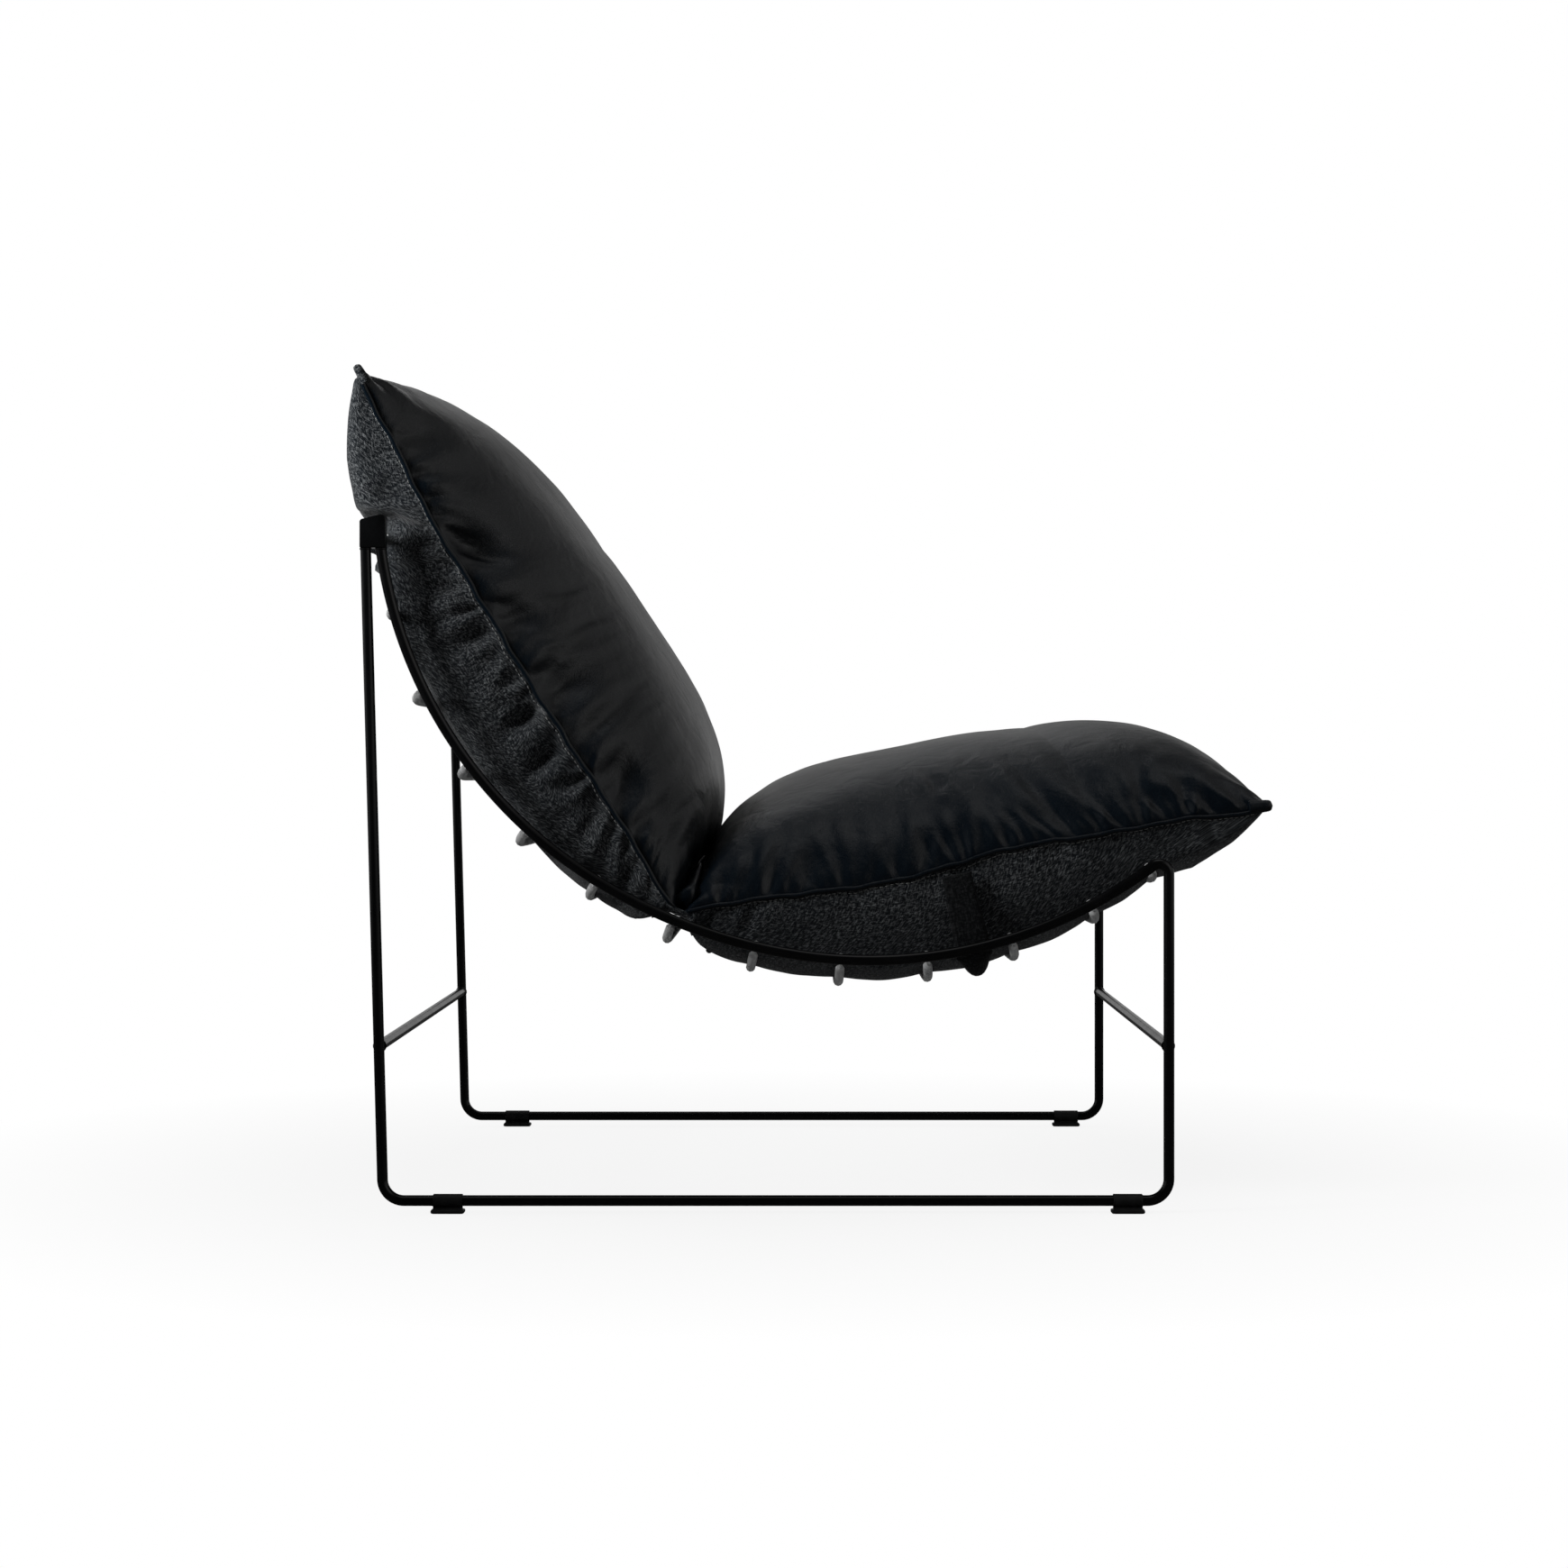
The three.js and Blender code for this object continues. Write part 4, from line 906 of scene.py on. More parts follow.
def under_limit(along, x):
    """The lowest that the belly may lie: on the springs, and bulging a little between them."""
    places = np.array(SPRING_PLACES)
    nearest = np.min(np.abs(along[..., None] - places), axis=-1)
    rest = -(spring_sag(along, x) - SPRING_RADIUS - REST_GAP)
    bulge = BULGE * np.clip((nearest - SPRING_TOUCH) / BULGE_REACH, 0, 1) ** 0.8
    inside = np.maximum(RAIL_INSIDE - np.abs(x), 0)
    pressed = np.clip((along - 0.24) / 0.12, 0, 1)
    on_springs = (along > places[0] - 0.04) & (along < LAST_SPRING + 0.047)
    on_rest = (rest - bulge * (1 - np.exp(-inside / SAG_WRAP))) * (0.35 + 0.65 * pressed)
    above_first = np.clip((places[0] - 0.008 - along) / 0.014, 0, 1)
    on_rest = on_rest - 0.004 * above_first
    beyond = np.clip((along - LAST_SPRING - 0.002) / END_REST, 0, 1)
    rounded = -END_DEPTH - 0.004 * np.sqrt(np.clip(inside / 0.06, 0, 1))
    free = np.where(along > LAST_SPRING, rounded, -FREE_DEPTH)
    return np.where(on_springs, on_rest * (1 - beyond) + free * beyond, free)


def grid_points(pillow, face):
    """One face of a pillow in space; the belly rests on the springs and clears the rail beside it."""
    x, along, rise = pillow_grid(pillow, face, PILLOW_ROWS, PILLOW_COLUMNS)
    if face == "belly":
        rise = np.maximum(rise, under_limit(along, x))
        beside_sleeve = np.clip((np.abs(x) - SLEEVE_END) / 0.012, 0, 1)
        by_block = np.exp(-((along + 0.026) / 0.022) ** 2)
        by_rail = np.clip((along + 0.02) / 0.02, 0, 1) * np.clip((0.13 - along) / 0.05, 0, 1)
        low = np.clip((0.012 - rise) / 0.012, 0, 1)
        rise = rise - beside_sleeve * low * np.maximum(0.008 * by_block, 0.006 * by_rail)
    return sling_point(x, along, rise)


def grid_faces(rows, columns, flip):
    """The squares of a grid of points, facing one way or the other."""
    faces = []
    for i in range(rows - 1):
        for j in range(columns - 1):
            a = i * columns + j
            face = (a, a + 1, a + columns + 1, a + columns)
            faces.append(face[::-1] if flip else face)
    return faces


def bag_of(top, belly):
    """Two grids that share their rim, as one closed bag: points, faces and each grid's point numbers."""
    rows, columns = top.shape[:2]
    index = np.arange(rows * columns).reshape(rows, columns)
    inner = np.arange((rows - 2) * (columns - 2)).reshape(rows - 2, columns - 2) + rows * columns
    under = index.copy()
    under[1:-1, 1:-1] = inner
    faces = []
    for i in range(rows - 1):
        for j in range(columns - 1):
            faces.append((index[i, j], index[i + 1, j], index[i + 1, j + 1], index[i, j + 1]))
            faces.append((under[i, j], under[i, j + 1], under[i + 1, j + 1], under[i + 1, j]))
    points = np.concatenate([top.reshape(-1, 3), belly[1:-1, 1:-1].reshape(-1, 3)])
    return points, faces, index, under


def rim_distance(points):
    """How far each point of a grid is from the seam, along the cloth, at the sides and at the ends."""
    across = run_along(points, axis=1)
    down = run_along(points)
    return np.minimum(across, across[:, -1:] - across), np.minimum(down, down[-1:] - down)


def blurred(field, sigma):
    """A field on a grid, smoothed, with its rim held where it is."""
    reach = int(3 * sigma)
    kernel = np.exp(-0.5 * (np.arange(-reach, reach + 1) / sigma) ** 2)
    kernel /= kernel.sum()
    result = field
    for axis in (0, 1):
        moved = np.moveaxis(result, axis, 0)
        before = -moved[1:reach + 1][::-1]
        after = -moved[-reach - 1:-1][::-1]
        padded = np.concatenate([before, moved, after])
        count = moved.shape[0]
        summed = sum(kernel[k] * padded[k:k + count] for k in range(2 * reach + 1))
        result = np.moveaxis(summed, 0, axis)
    return result


# Simulation of the covers: cloth that is cut a little too long along its seams buckles under pressure.
SIM_FRAMES = 22
COVER_PRESSURE = 3.0
SEAM_FULLNESS = -0.075
FACE_FULLNESS = -0.012
FOLD_GAIN = 0.7
FOLD_LIMIT = 0.009
SHAKE = 0.0004
SEAM_REACH = 0.075
END_REACH = 0.06
CLOTH_FACTS = {
    "quality": 6, "mass": 0.4, "air_damping": 1.5,
    "tension_stiffness": 30, "compression_stiffness": 30, "shear_stiffness": 8, "bending_stiffness": 1.2,
    "tension_damping": 8, "compression_damping": 8, "shear_damping": 8, "bending_damping": 1.0,
    "vertex_group_mass": "pin", "vertex_group_shrink": "full",
    "shrink_min": FACE_FULLNESS, "shrink_max": SEAM_FULLNESS,
    "use_pressure": True, "uniform_pressure_force": COVER_PRESSURE,
}


def buckled(name, top, belly):
    """Both faces of a pillow after the cloth has settled under its filling's pressure."""
    points, faces, index, under = bag_of(top, belly)
    random = np.random.RandomState(SEED)
    bag = new_object(f"sim_{name}", points + random.normal(0, SHAKE, points.shape), faces, None)
    weights = []
    for grid in (top, belly):
        sides, ends = rim_distance(grid)
        near = np.exp(-(sides / SEAM_REACH) ** 2) + 0.8 * np.exp(-(ends / END_REACH) ** 2)
        weights.append(np.clip(near, 0, 1))
    fullness = np.concatenate([weights[0].ravel(), weights[1][1:-1, 1:-1].ravel()])
    pin = bag.vertex_groups.new(name="pin")
    rim = sorted(set(index[0]) | set(index[-1]) | set(index[:, 0]) | set(index[:, -1]))
    pin.add([int(i) for i in rim], 1.0, "REPLACE")
    full = bag.vertex_groups.new(name="full")
    for i, weight in enumerate(fullness):
        full.add([i], float(weight), "REPLACE")
    cloth = bag.modifiers.new("cloth", "CLOTH")
    for fact, value in CLOTH_FACTS.items():
        setattr(cloth.settings, fact, value)
    cloth.settings.effector_weights.gravity = 0.0
    cloth.point_cache.frame_start = 1
    cloth.point_cache.frame_end = SIM_FRAMES
    scene = bpy.context.scene
    for number in range(1, SIM_FRAMES + 1):
        scene.frame_set(number)
    graph = bpy.context.evaluated_depsgraph_get()
    settled = np.zeros(len(points) * 3)
    bag.evaluated_get(graph).data.vertices.foreach_get("co", settled)
    settled = settled.reshape(-1, 3)
    scene.frame_set(1)
    bpy.data.objects.remove(bag)
    return settled[index], settled[under]


def calmed(place, total, calm):
    """How far folds show at places along a side seam: not near its two ends."""
    return np.clip(place / calm, 0, 1) ** 2 * np.clip((total - place) / 0.03, 0, 1)


def keep_folds(target, settled, calm):
    """The target shape with only the folds of the settled cloth, not its change of outline."""
    moved = settled - target
    folds = blurred(moved, 2.2) - blurred(moved, 8.0)
    run = run_along(target[:, target.shape[1] // 2])
    folds = folds * (0.15 + 0.85 * calmed(run, run[-1], calm))[:, None, None]
    size = np.linalg.norm(folds, axis=2, keepdims=True)
    return target + folds * FOLD_GAIN * FOLD_LIMIT / np.maximum(size * FOLD_GAIN, FOLD_LIMIT)


def finer(grid):
    """A grid with a row and a column put in between, on smooth curves."""
    for axis in (0, 1):
        lines = np.moveaxis(grid, axis, 0)
        count = lines.shape[0]
        at = np.linspace(0, count - 1, (count - 1) * 2 + 1)
        between = through(lines.reshape(count, -1), at)
        grid = np.moveaxis(between.reshape(len(at), *lines.shape[1:]), 0, axis)
    return grid


def soft_noise(first, second, seed):
    """A smooth random field of two coordinates, with one bump for each step of 1."""
    random = np.random.RandomState(seed)
    a = first - math.floor(first.min())
    b = second - math.floor(second.min())
    lattice = random.uniform(-1, 1, (int(a.max()) + 2, int(b.max()) + 2))
    ia, ib = np.floor(a).astype(int), np.floor(b).astype(int)
    ta, tb = a - ia, b - ib
    ta, tb = ta * ta * (3 - 2 * ta), tb * tb * (3 - 2 * tb)
    low = lattice[ia, ib] * (1 - tb) + lattice[ia, ib + 1] * tb
    high = lattice[ia + 1, ib] * (1 - tb) + lattice[ia + 1, ib + 1] * tb
    return low * (1 - ta) + high * ta


def pinches(place, inward, seed, pitch, reach, deep, width):
    """Folds that start at a seam, narrow and sharp, and fade out into the cover."""
    random = np.random.RandomState(seed)
    field = np.zeros_like(place)
    centre = place.min() - pitch
    while centre < place.max() + pitch:
        centre += pitch * random.uniform(0.45, 1.55)
        strength = deep * random.uniform(0.3, 1.0)
        length = reach * random.uniform(0.45, 1.4)
        lean = random.uniform(-0.35, 0.35)
        bend = random.uniform(-3.0, 3.0)
        spread = width * random.uniform(0.7, 1.4)
        near = np.minimum(inward, 3 * length)
        away = place - centre - lean * near - bend * near * near
        u = np.abs(away) / (spread * (0.6 + near / length))
        groove = np.exp(-u ** 1.4) - 0.5 * np.exp(-((u - 1.9) / 0.8) ** 2)
        fade = (1 - np.exp(-inward / 0.004)) * np.exp(-(inward / length) ** 2)
        field -= strength * groove * fade
    return field


def dents(place, inward, total, rows):
    """Soft hollows beside a seam: share of its length, distance, half-length, half-width and depth."""
    field = np.zeros_like(place)
    for share, distance, half_long, half_wide, deep in rows:
        a = (place - share * total) / half_long
        b = (inward - distance) / half_wide
        field -= deep * np.exp(-a * a - b * b)
    return field * (1 - np.exp(-inward / 0.006))


def outward_normals(points, other):
    """Unit normals of a grid that point away from the pillow's other face."""
    normal = np.cross(np.gradient(points, axis=1), np.gradient(points, axis=0))
    normal = normal / np.maximum(np.linalg.norm(normal, axis=2, keepdims=True), 1e-9)
    apart = points.mean(axis=(0, 1)) - other.mean(axis=(0, 1))
    return normal if np.sum(normal * apart, axis=2).sum() > 0 else -normal


def wrinkles(place, inward, seed, pitch, spacing, height, reach):
    """Fine wrinkles in patches, which fade out away from the seam."""
    warp = 0.010 * soft_noise(place / 0.05, inward / 0.05, seed)
    fine = soft_noise((place + warp) / pitch, inward / spacing, seed + 1)
    patchy = np.clip(0.5 + soft_noise(place / 0.07, inward / 0.06, seed + 3), 0, 1)
    band = (1 - np.exp(-inward / 0.012)) * np.exp(-(inward / reach) ** 2)
    return height * fine * patchy * band


def creased(points, other, folds, seed):
    """A cover with its gathers along the seams, hollows beside them and fine wrinkles."""
    columns = points.shape[1]
    across = run_along(points, axis=1)
    down = run_along(points)
    field = np.zeros(points.shape[:2])
    for edge, offset in ((0, 0), (columns - 1, 1)):
        inward = across if edge == 0 else across[:, -1:] - across
        place = np.broadcast_to(down[:, edge:edge + 1], inward.shape)
        total = down[-1, edge]
        shown = calmed(place, total, folds["calm"])
        for number, kind in enumerate(folds["sides"]):
            field += shown * pinches(place, inward, seed + 10 * number + offset, *kind)
        field += dents(place, inward, total, folds["dents"])
        field += shown * wrinkles(place, inward, seed + 50 + offset, *folds["wrinkle"])
    for edge in (0, -1):
        inward = down if edge == 0 else down[-1:] - down
        place = np.broadcast_to(points[edge, :, 0], inward.shape)
        for number, kind in enumerate(folds["ends"]):
            field += pinches(place, inward, seed + 30 + 10 * number + edge, *kind)
    rim = np.minimum(*rim_distance(points))
    field *= 1 - np.exp(-rim / 0.003)
    return points + outward_normals(points, other) * field[:, :, None]


# Folds: pitch, reach, depth and width of the gathers at the side seams and at the ends; the hollows
# beside the side seams; length, spacing and height of the wrinkles and how far from the seam they run.
FOLDS = {
    ("back", "top"): {
        "calm": 0.09,
        "sides": ((0.046, 0.060, 0.0034, 0.0080), (0.013, 0.018, 0.0012, 0.0030)),
        "ends": ((0.045, 0.050, 0.0035, 0.0075), (0.016, 0.020, 0.0012, 0.0032)),
        "dents": (
            (0.13, 0.030, 0.018, 0.026, 0.006), (0.31, 0.030, 0.028, 0.032, 0.014),
            (0.46, 0.026, 0.018, 0.028, 0.009), (0.60, 0.028, 0.022, 0.032, 0.012),
            (0.70, 0.050, 0.012, 0.045, 0.005), (0.80, 0.028, 0.024, 0.028, 0.010),
            (0.91, 0.050, 0.016, 0.028, 0.007),
        ),
        "wrinkle": (0.0085, 0.060, 0.0024, 0.120),
    },
    ("seat", "top"): {
        "calm": 0.03,
        "sides": ((0.021, 0.060, 0.0030, 0.0056), (0.0095, 0.014, 0.0009, 0.0024)),
        "ends": ((0.030, 0.050, 0.0042, 0.0062), (0.014, 0.018, 0.0012, 0.0030)),
        "dents": (
            (0.22, 0.030, 0.024, 0.022, 0.004), (0.45, 0.024, 0.030, 0.020, 0.005),
            (0.66, 0.030, 0.040, 0.022, 0.004), (0.83, 0.024, 0.026, 0.016, 0.003),
        ),
        "wrinkle": (0.0110, 0.035, 0.0022, 0.100),
    },
    ("back", "belly"): {
        "calm": 0.20,
        "sides": ((0.030, 0.050, 0.0062, 0.0062), (0.012, 0.016, 0.0018, 0.0028)),
        "ends": ((0.035, 0.030, 0.0024, 0.0060),),
        "dents": (
            (0.38, 0.020, 0.008, 0.024, 0.009), (0.47, 0.022, 0.008, 0.026, 0.010),
            (0.61, 0.018, 0.009, 0.026, 0.015), (0.68, 0.030, 0.007, 0.024, 0.009),
            (0.80, 0.026, 0.008, 0.024, 0.009), (0.90, 0.018, 0.008, 0.022, 0.009),
        ),
        "wrinkle": (0.0100, 0.030, 0.0017, 0.060),
    },
    ("seat", "belly"): {
        "calm": 0.03,
        "sides": ((0.060, 0.034, 0.0020, 0.0080), (0.016, 0.010, 0.0008, 0.0030)),
        "ends": ((0.035, 0.030, 0.0024, 0.0060),),
        "dents": ((0.05, 0.016, 0.007, 0.020, 0.005), (0.12, 0.020, 0.007, 0.018, 0.004)),
        "wrinkle": (0.0160, 0.030, 0.0007, 0.060),
    },
}


def pillow_faces(name, pillow):
    """The leather and the fabric face of a pillow, with the folds of the simulation and their own."""
    grids = [grid_points(pillow, face) for face in ("top", "belly")]
    facts = [FOLDS[name, face] for face in ("top", "belly")]
    settled = buckled(name, *grids)
    grids = [keep_folds(*pair, fact["calm"]) for *pair, fact in zip(grids, settled, facts)]
    top, belly = [finer(grid) for grid in grids]
    folded_top = creased(top, belly, facts[0], SEED + len(name))
    folded_belly = creased(belly, top, facts[1], SEED + 3 * len(name))
    return folded_top, folded_belly


def panel(name, points, face, finish, slot):
    """One cover of a pillow as a thick sheet with its own UV map."""
    rows, columns = points.shape[:2]
    piece = new_object(name, points.reshape(-1, 3), grid_faces(rows, columns, face == "top"), finish)
    put_uv(piece, points)
    thicken(piece, LEATHER_THICK, -1)
    place(piece, slot, f"{name}_panel")


def put_uv(piece, points):
    """A UV map in metres: across the chair, and along the cloth."""
    across = run_along(points, axis=1)
    across -= across[:, points.shape[1] // 2][:, None]
    write_uv(piece, np.stack([across, run_along(points)], -1).reshape(-1, 2))


def rim_loop(grid):
    """The outermost points of a grid, once round."""
    return np.concatenate([grid[0, :-1], grid[:-1, -1], grid[-1, :0:-1], grid[:0:-1, 0]])


def even_path(points, pitch, closed=True):
    """A path through points, cut into even steps of about one pitch."""
    points = np.asarray(points, float)
    if closed:
        points = np.vstack([points, points[:1]])
    distance = run_along(points)
    count = max(int(round(distance[-1] / pitch)), 3)
    at = np.linspace(0, distance[-1], count + 1)
    path = np.stack([np.interp(at, distance, points[:, k]) for k in range(3)], -1)
    return path[:-1] if closed else path


def softened(points, rounds):
    """A closed path with its small kinks smoothed."""
    for _ in range(rounds):
        points = 0.5 * points + 0.25 * (np.roll(points, 1, 0) + np.roll(points, -1, 0))
    return points


def seam_piping(name, top, belly, node):
    """A leather-covered cord in the seam, all round the pillow."""
    inside = 12
    pitch = 0.005
    inner = 0.5 * (top[inside:-inside, inside:-inside] + belly[inside:-inside, inside:-inside])
    rim = even_path(rim_loop(top), pitch)
    core = even_path(rim_loop(inner), pitch)
    nearest = [core[np.argmin(np.sum((core - point) ** 2, axis=1))] for point in rim]
    outward = rim - np.array(nearest)
    outward /= np.linalg.norm(outward, axis=1, keepdims=True)
    outward = softened(outward, 4)
    outward /= np.linalg.norm(outward, axis=1, keepdims=True)
    path = softened(rim, 2) + outward * (PIPING_RADIUS * 0.75)
    path[:, 0] = np.clip(path[:, 0], -PIPING_LIMIT, PIPING_LIMIT)
    phase = np.arange(len(path))
    radius = PIPING_RADIUS * (1 + 0.05 * np.sin(phase * 0.9) * np.sin(phase * 0.37))
    shell = Shell()
    shell.tube(path, radius, 12, closed=True)
    return place(shell.object(name, LEATHER), "black_leather", node)


def beside_rim(grid, gap):
    """A closed path on a grid that runs beside its rim at a fixed distance."""
    def along_line(line):
        distance = run_along(line)
        return np.array([np.interp(gap, distance, line[:, k]) for k in range(3)])
    margin = 7
    rows = range(margin, grid.shape[0] - margin)
    columns = range(margin, grid.shape[1] - margin)
    top = [along_line(grid[:, j]) for j in columns]
    right = [along_line(grid[i, ::-1]) for i in rows]
    bottom = [along_line(grid[::-1, j]) for j in reversed(columns)]
    left = [along_line(grid[i]) for i in reversed(rows)]
    return np.array(top + right + bottom + left)


STITCH_PITCH = 0.0050
STITCH_LENGTH = 0.0038
STITCH_RADIUS = 0.0005
STITCH_LIFT = 0.0003
STITCH_DIP = 0.0004
# One stitch: shares of its length and of its radius.
STITCH_PROFILE = ((-0.5, 0.25), (-0.38, 0.8), (0.0, 1.0), (0.38, 0.8), (0.5, 0.25))


def stitches(name, path, centre_of):
    """A row of thread stitches along a closed path, each a small closed capsule on the surface."""
    points = even_path(path, STITCH_PITCH)
    count = len(points)
    shell = Shell()
    for i, here in enumerate(points):
        ahead = points[(i + 1) % count] - points[i - 1]
        ahead /= np.linalg.norm(ahead)
        out = here - centre_of(here)
        out -= ahead * np.dot(out, ahead)
        out /= np.linalg.norm(out)
        side = np.cross(ahead, out)
        rings = []
        for step, size in STITCH_PROFILE:
            dip = -STITCH_DIP * (2 * step) ** 2
            middle = here + ahead * STITCH_LENGTH * step + out * (STITCH_LIFT + dip)
            ring = []
            for k in range(6):
                angle = math.pi * k / 3
                spoke = math.cos(angle) * out + math.sin(angle) * side
                ring.append(middle + STITCH_RADIUS * size * spoke)
            rings.append(ring)
        shell.rings(rings)
    return place(shell.object(name, THREAD), "charcoal_fabric")


def filling(name, top, belly, node):
    """Wadding inside the covers: the pillow's own form, well inside it."""
    middle = 0.5 * (top + belly)
    centre = middle.mean(axis=(0, 1))
    step = 8
    grids = []
    for face in (top, belly):
        inner = middle + (face - middle) * 0.84
        grids.append(centre + (inner[::step, ::step] - centre) * 0.95)
    points, faces, _, _ = bag_of(*grids)
    piece = place(new_object(name, points, faces, WADDING), "filling", node)


def oval(centre, first, second, wide, tall, count):
    """Points round an oval that two directions span."""
    turns = spaced(0, 2 * math.pi, count)[:-1]
    return [centre + first * wide * math.cos(a) + second * tall * math.sin(a) for a in turns]


# The zip: its tape across its width, its coil, and the slider along its length.
TAPE_HALF = 0.0085
TAPE_LIFT = 0.0002
TAPE_SECTION = (
    (-1, 0.0), (1, 0.0), (1, 0.0007), (0.35, 0.0010), (0.3, 0.0016), (-0.3, 0.0016), (-0.35, 0.0010),
    (-1, 0.0007),
)
COIL_PITCH = 0.0024
COIL_LIFT = 0.0022
COIL_WIRE = 0.00055
SLIDER_SECTIONS = (
    (-0.006, 0.0022, 0.0012), (-0.0045, 0.0034, 0.0019), (0.0, 0.0030, 0.0021),
    (0.0045, 0.0040, 0.0018), (0.006, 0.0026, 0.0011),
)
PULLER_LENGTH = 0.024


def zip_row(name, belly, node):
    """A zip let into the belly: two tapes, the coil between them and a slider with its puller."""
    low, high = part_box(node)
    target = np.array([(low.y + high.y) / 2, (low.z + high.z) / 2])
    middle = belly[:, belly.shape[1] // 2, 1:]
    row = int(np.argmin(np.sum((middle - target) ** 2, axis=1)))
    keep = np.abs(belly[row][:, 0]) <= high.x
    line = belly[row][keep]
    down = belly[row + 1][keep] - belly[row - 1][keep]
    down /= np.linalg.norm(down, axis=1, keepdims=True)
    across = np.gradient(line, axis=0)
    across /= np.linalg.norm(across, axis=1, keepdims=True)
    out = np.cross(across, down)
    out /= np.linalg.norm(out, axis=1, keepdims=True)
    if out[len(out) // 2][2] > 0:
        out = -out
    shell = Shell()
    rings = []
    for point, d, o in zip(line, down, out):
        rings.append([point + d * TAPE_HALF * a + o * (TAPE_LIFT + b) for a, b in TAPE_SECTION])
    shell.rings(rings)
    tape = shell.object(name, TAPE)
    flat_uv(tape)
    sharpen(tape, 40)
    place(tape, "zip", node)
    path = even_path(line + out * COIL_LIFT, COIL_PITCH, closed=False)
    zip_coil(f"{name}_coil", path, down[len(down) // 2], out[len(out) // 2])


def zip_coil(name, path, down, out):
    """The coil's teeth along the path, and the slider with its puller near its start."""
    coil = Shell()
    for i, point in enumerate(path[:-1]):
        side = 1 if i % 2 else -1
        tooth = [
            point + down * side * 0.0024 - out * 0.0006,
            point + down * side * 0.0012 + out * 0.0005,
            point - down * side * 0.0008 + out * 0.0003,
        ]
        coil.tube(tooth, COIL_WIRE, 6)
    slider = path[6] + out * 0.0008
    right = np.array([1.0, 0.0, 0.0])
    coil.rings([oval(slider + right * x, down, out, wide, tall, 12) for x, wide, tall in SLIDER_SECTIONS])
    puller = slider + out * 0.0026
    steps = 8
    rings = []
    for i, reach in enumerate(spaced(0.0, PULLER_LENGTH, steps)):
        wide = 0.0016 + 0.0012 * math.sin(math.pi * i / steps)
        rings.append(oval(puller + right * reach, down, out, wide, 0.0006, 10))
    coil.rings(rings)
    place(coil.object(name, COIL), "zip")


def flat_uv(piece):
    """A UV map in metres, taken straight from two of the piece's directions."""
    co = np.zeros(len(piece.data.vertices) * 3)
    piece.data.vertices.foreach_get("co", co)
    co = co.reshape(-1, 3)
    write_uv(piece, np.stack([co[:, 0], co[:, 1] + co[:, 2]], -1))


def hanging_sleeve():
    """The fabric tunnel round the top bar: a soft tube with gathered folds, a fuller rear side and a hem
    at each end.
    """
    low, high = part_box("hanging_tunnel")
    y, z = (low.y + high.y) / 2, (low.z + high.z) / 2
    outer = (high.z - low.z) / 2
    inner = outer - 0.0016
    half = high.x
    shell = Shell()
    steps = 120
    sides = 36
    angles = np.linspace(0, 2 * np.pi, sides, endpoint=False)
    rings_out = []
    rings_in = []
    for x in np.linspace(-half, half, steps + 1):
        wave = 0.0007 * math.sin(x * 61) * math.sin(x * 23 + 1.1) + 0.0003 * math.sin(x * 190)
        hem = 0.0006 if half - abs(x) < 0.011 else 0.0
        fold = 0.0006 * np.sin(3 * angles + x * 40) + 0.0004 * np.sin(7 * angles - x * 75)
        rear = 0.0048 * np.clip(np.cos(angles + 0.35), 0, 1) ** 2
        radius = outer + rear + wave * np.clip(np.cos(angles - 2.2), -0.4, 1) + fold + hem - 0.0004
        rings_out.append([(x, y + r * math.cos(a), z + r * math.sin(a)) for r, a in zip(radius, angles)])
        rings_in.append([(x, y + inner * math.cos(a), z + inner * math.sin(a)) for a in angles])
    ring_list = rings_out + rings_in[::-1]
    shell.rings(ring_list, closed=True)
    piece = shell.object("hanging_sleeve", FABRIC)
    ring_uv(piece, sides, 2 * half / steps, 2 * math.pi * outer / sides)
    return place(piece, "charcoal_fabric", "hanging_tunnel")


def ring_uv(piece, sides, step_along, step_round):
    """A UV map in metres for a piece that is made of rings: along it, and round it."""
    vertex = np.arange(len(piece.data.vertices))
    side = vertex % sides
    turned = np.minimum(side, sides - side)
    write_uv(piece, np.stack([vertex // sides * step_along, turned * step_round], -1))


STRAP_AT = SPRING_PLACES[9] - 0.0365
STRAP_HALF = 0.0165
STRAP_THICK = 0.0009
STRAP_STEPS = 60
# How the strap runs: distance inside the rail's inner side, rise over the sling line and share of
# its width.
STRAP_ROUTE = (
    (0.0058, 0.070, 1.0), (0.0042, 0.058, 1.0), (0.0028, 0.040, 1.0), (0.0020, 0.022, 1.0),
    (0.0016, 0.006, 1.0), (0.0018, -0.006, 1.0), (0.0030, -0.014, 0.97), (0.0062, -0.021, 0.88),
    (0.0110, -0.0255, 0.74), (0.0165, -0.0262, 0.66), (0.0215, -0.0235, 0.70), (0.0245, -0.0175, 0.84),
    (0.0252, -0.0105, 0.95),
)


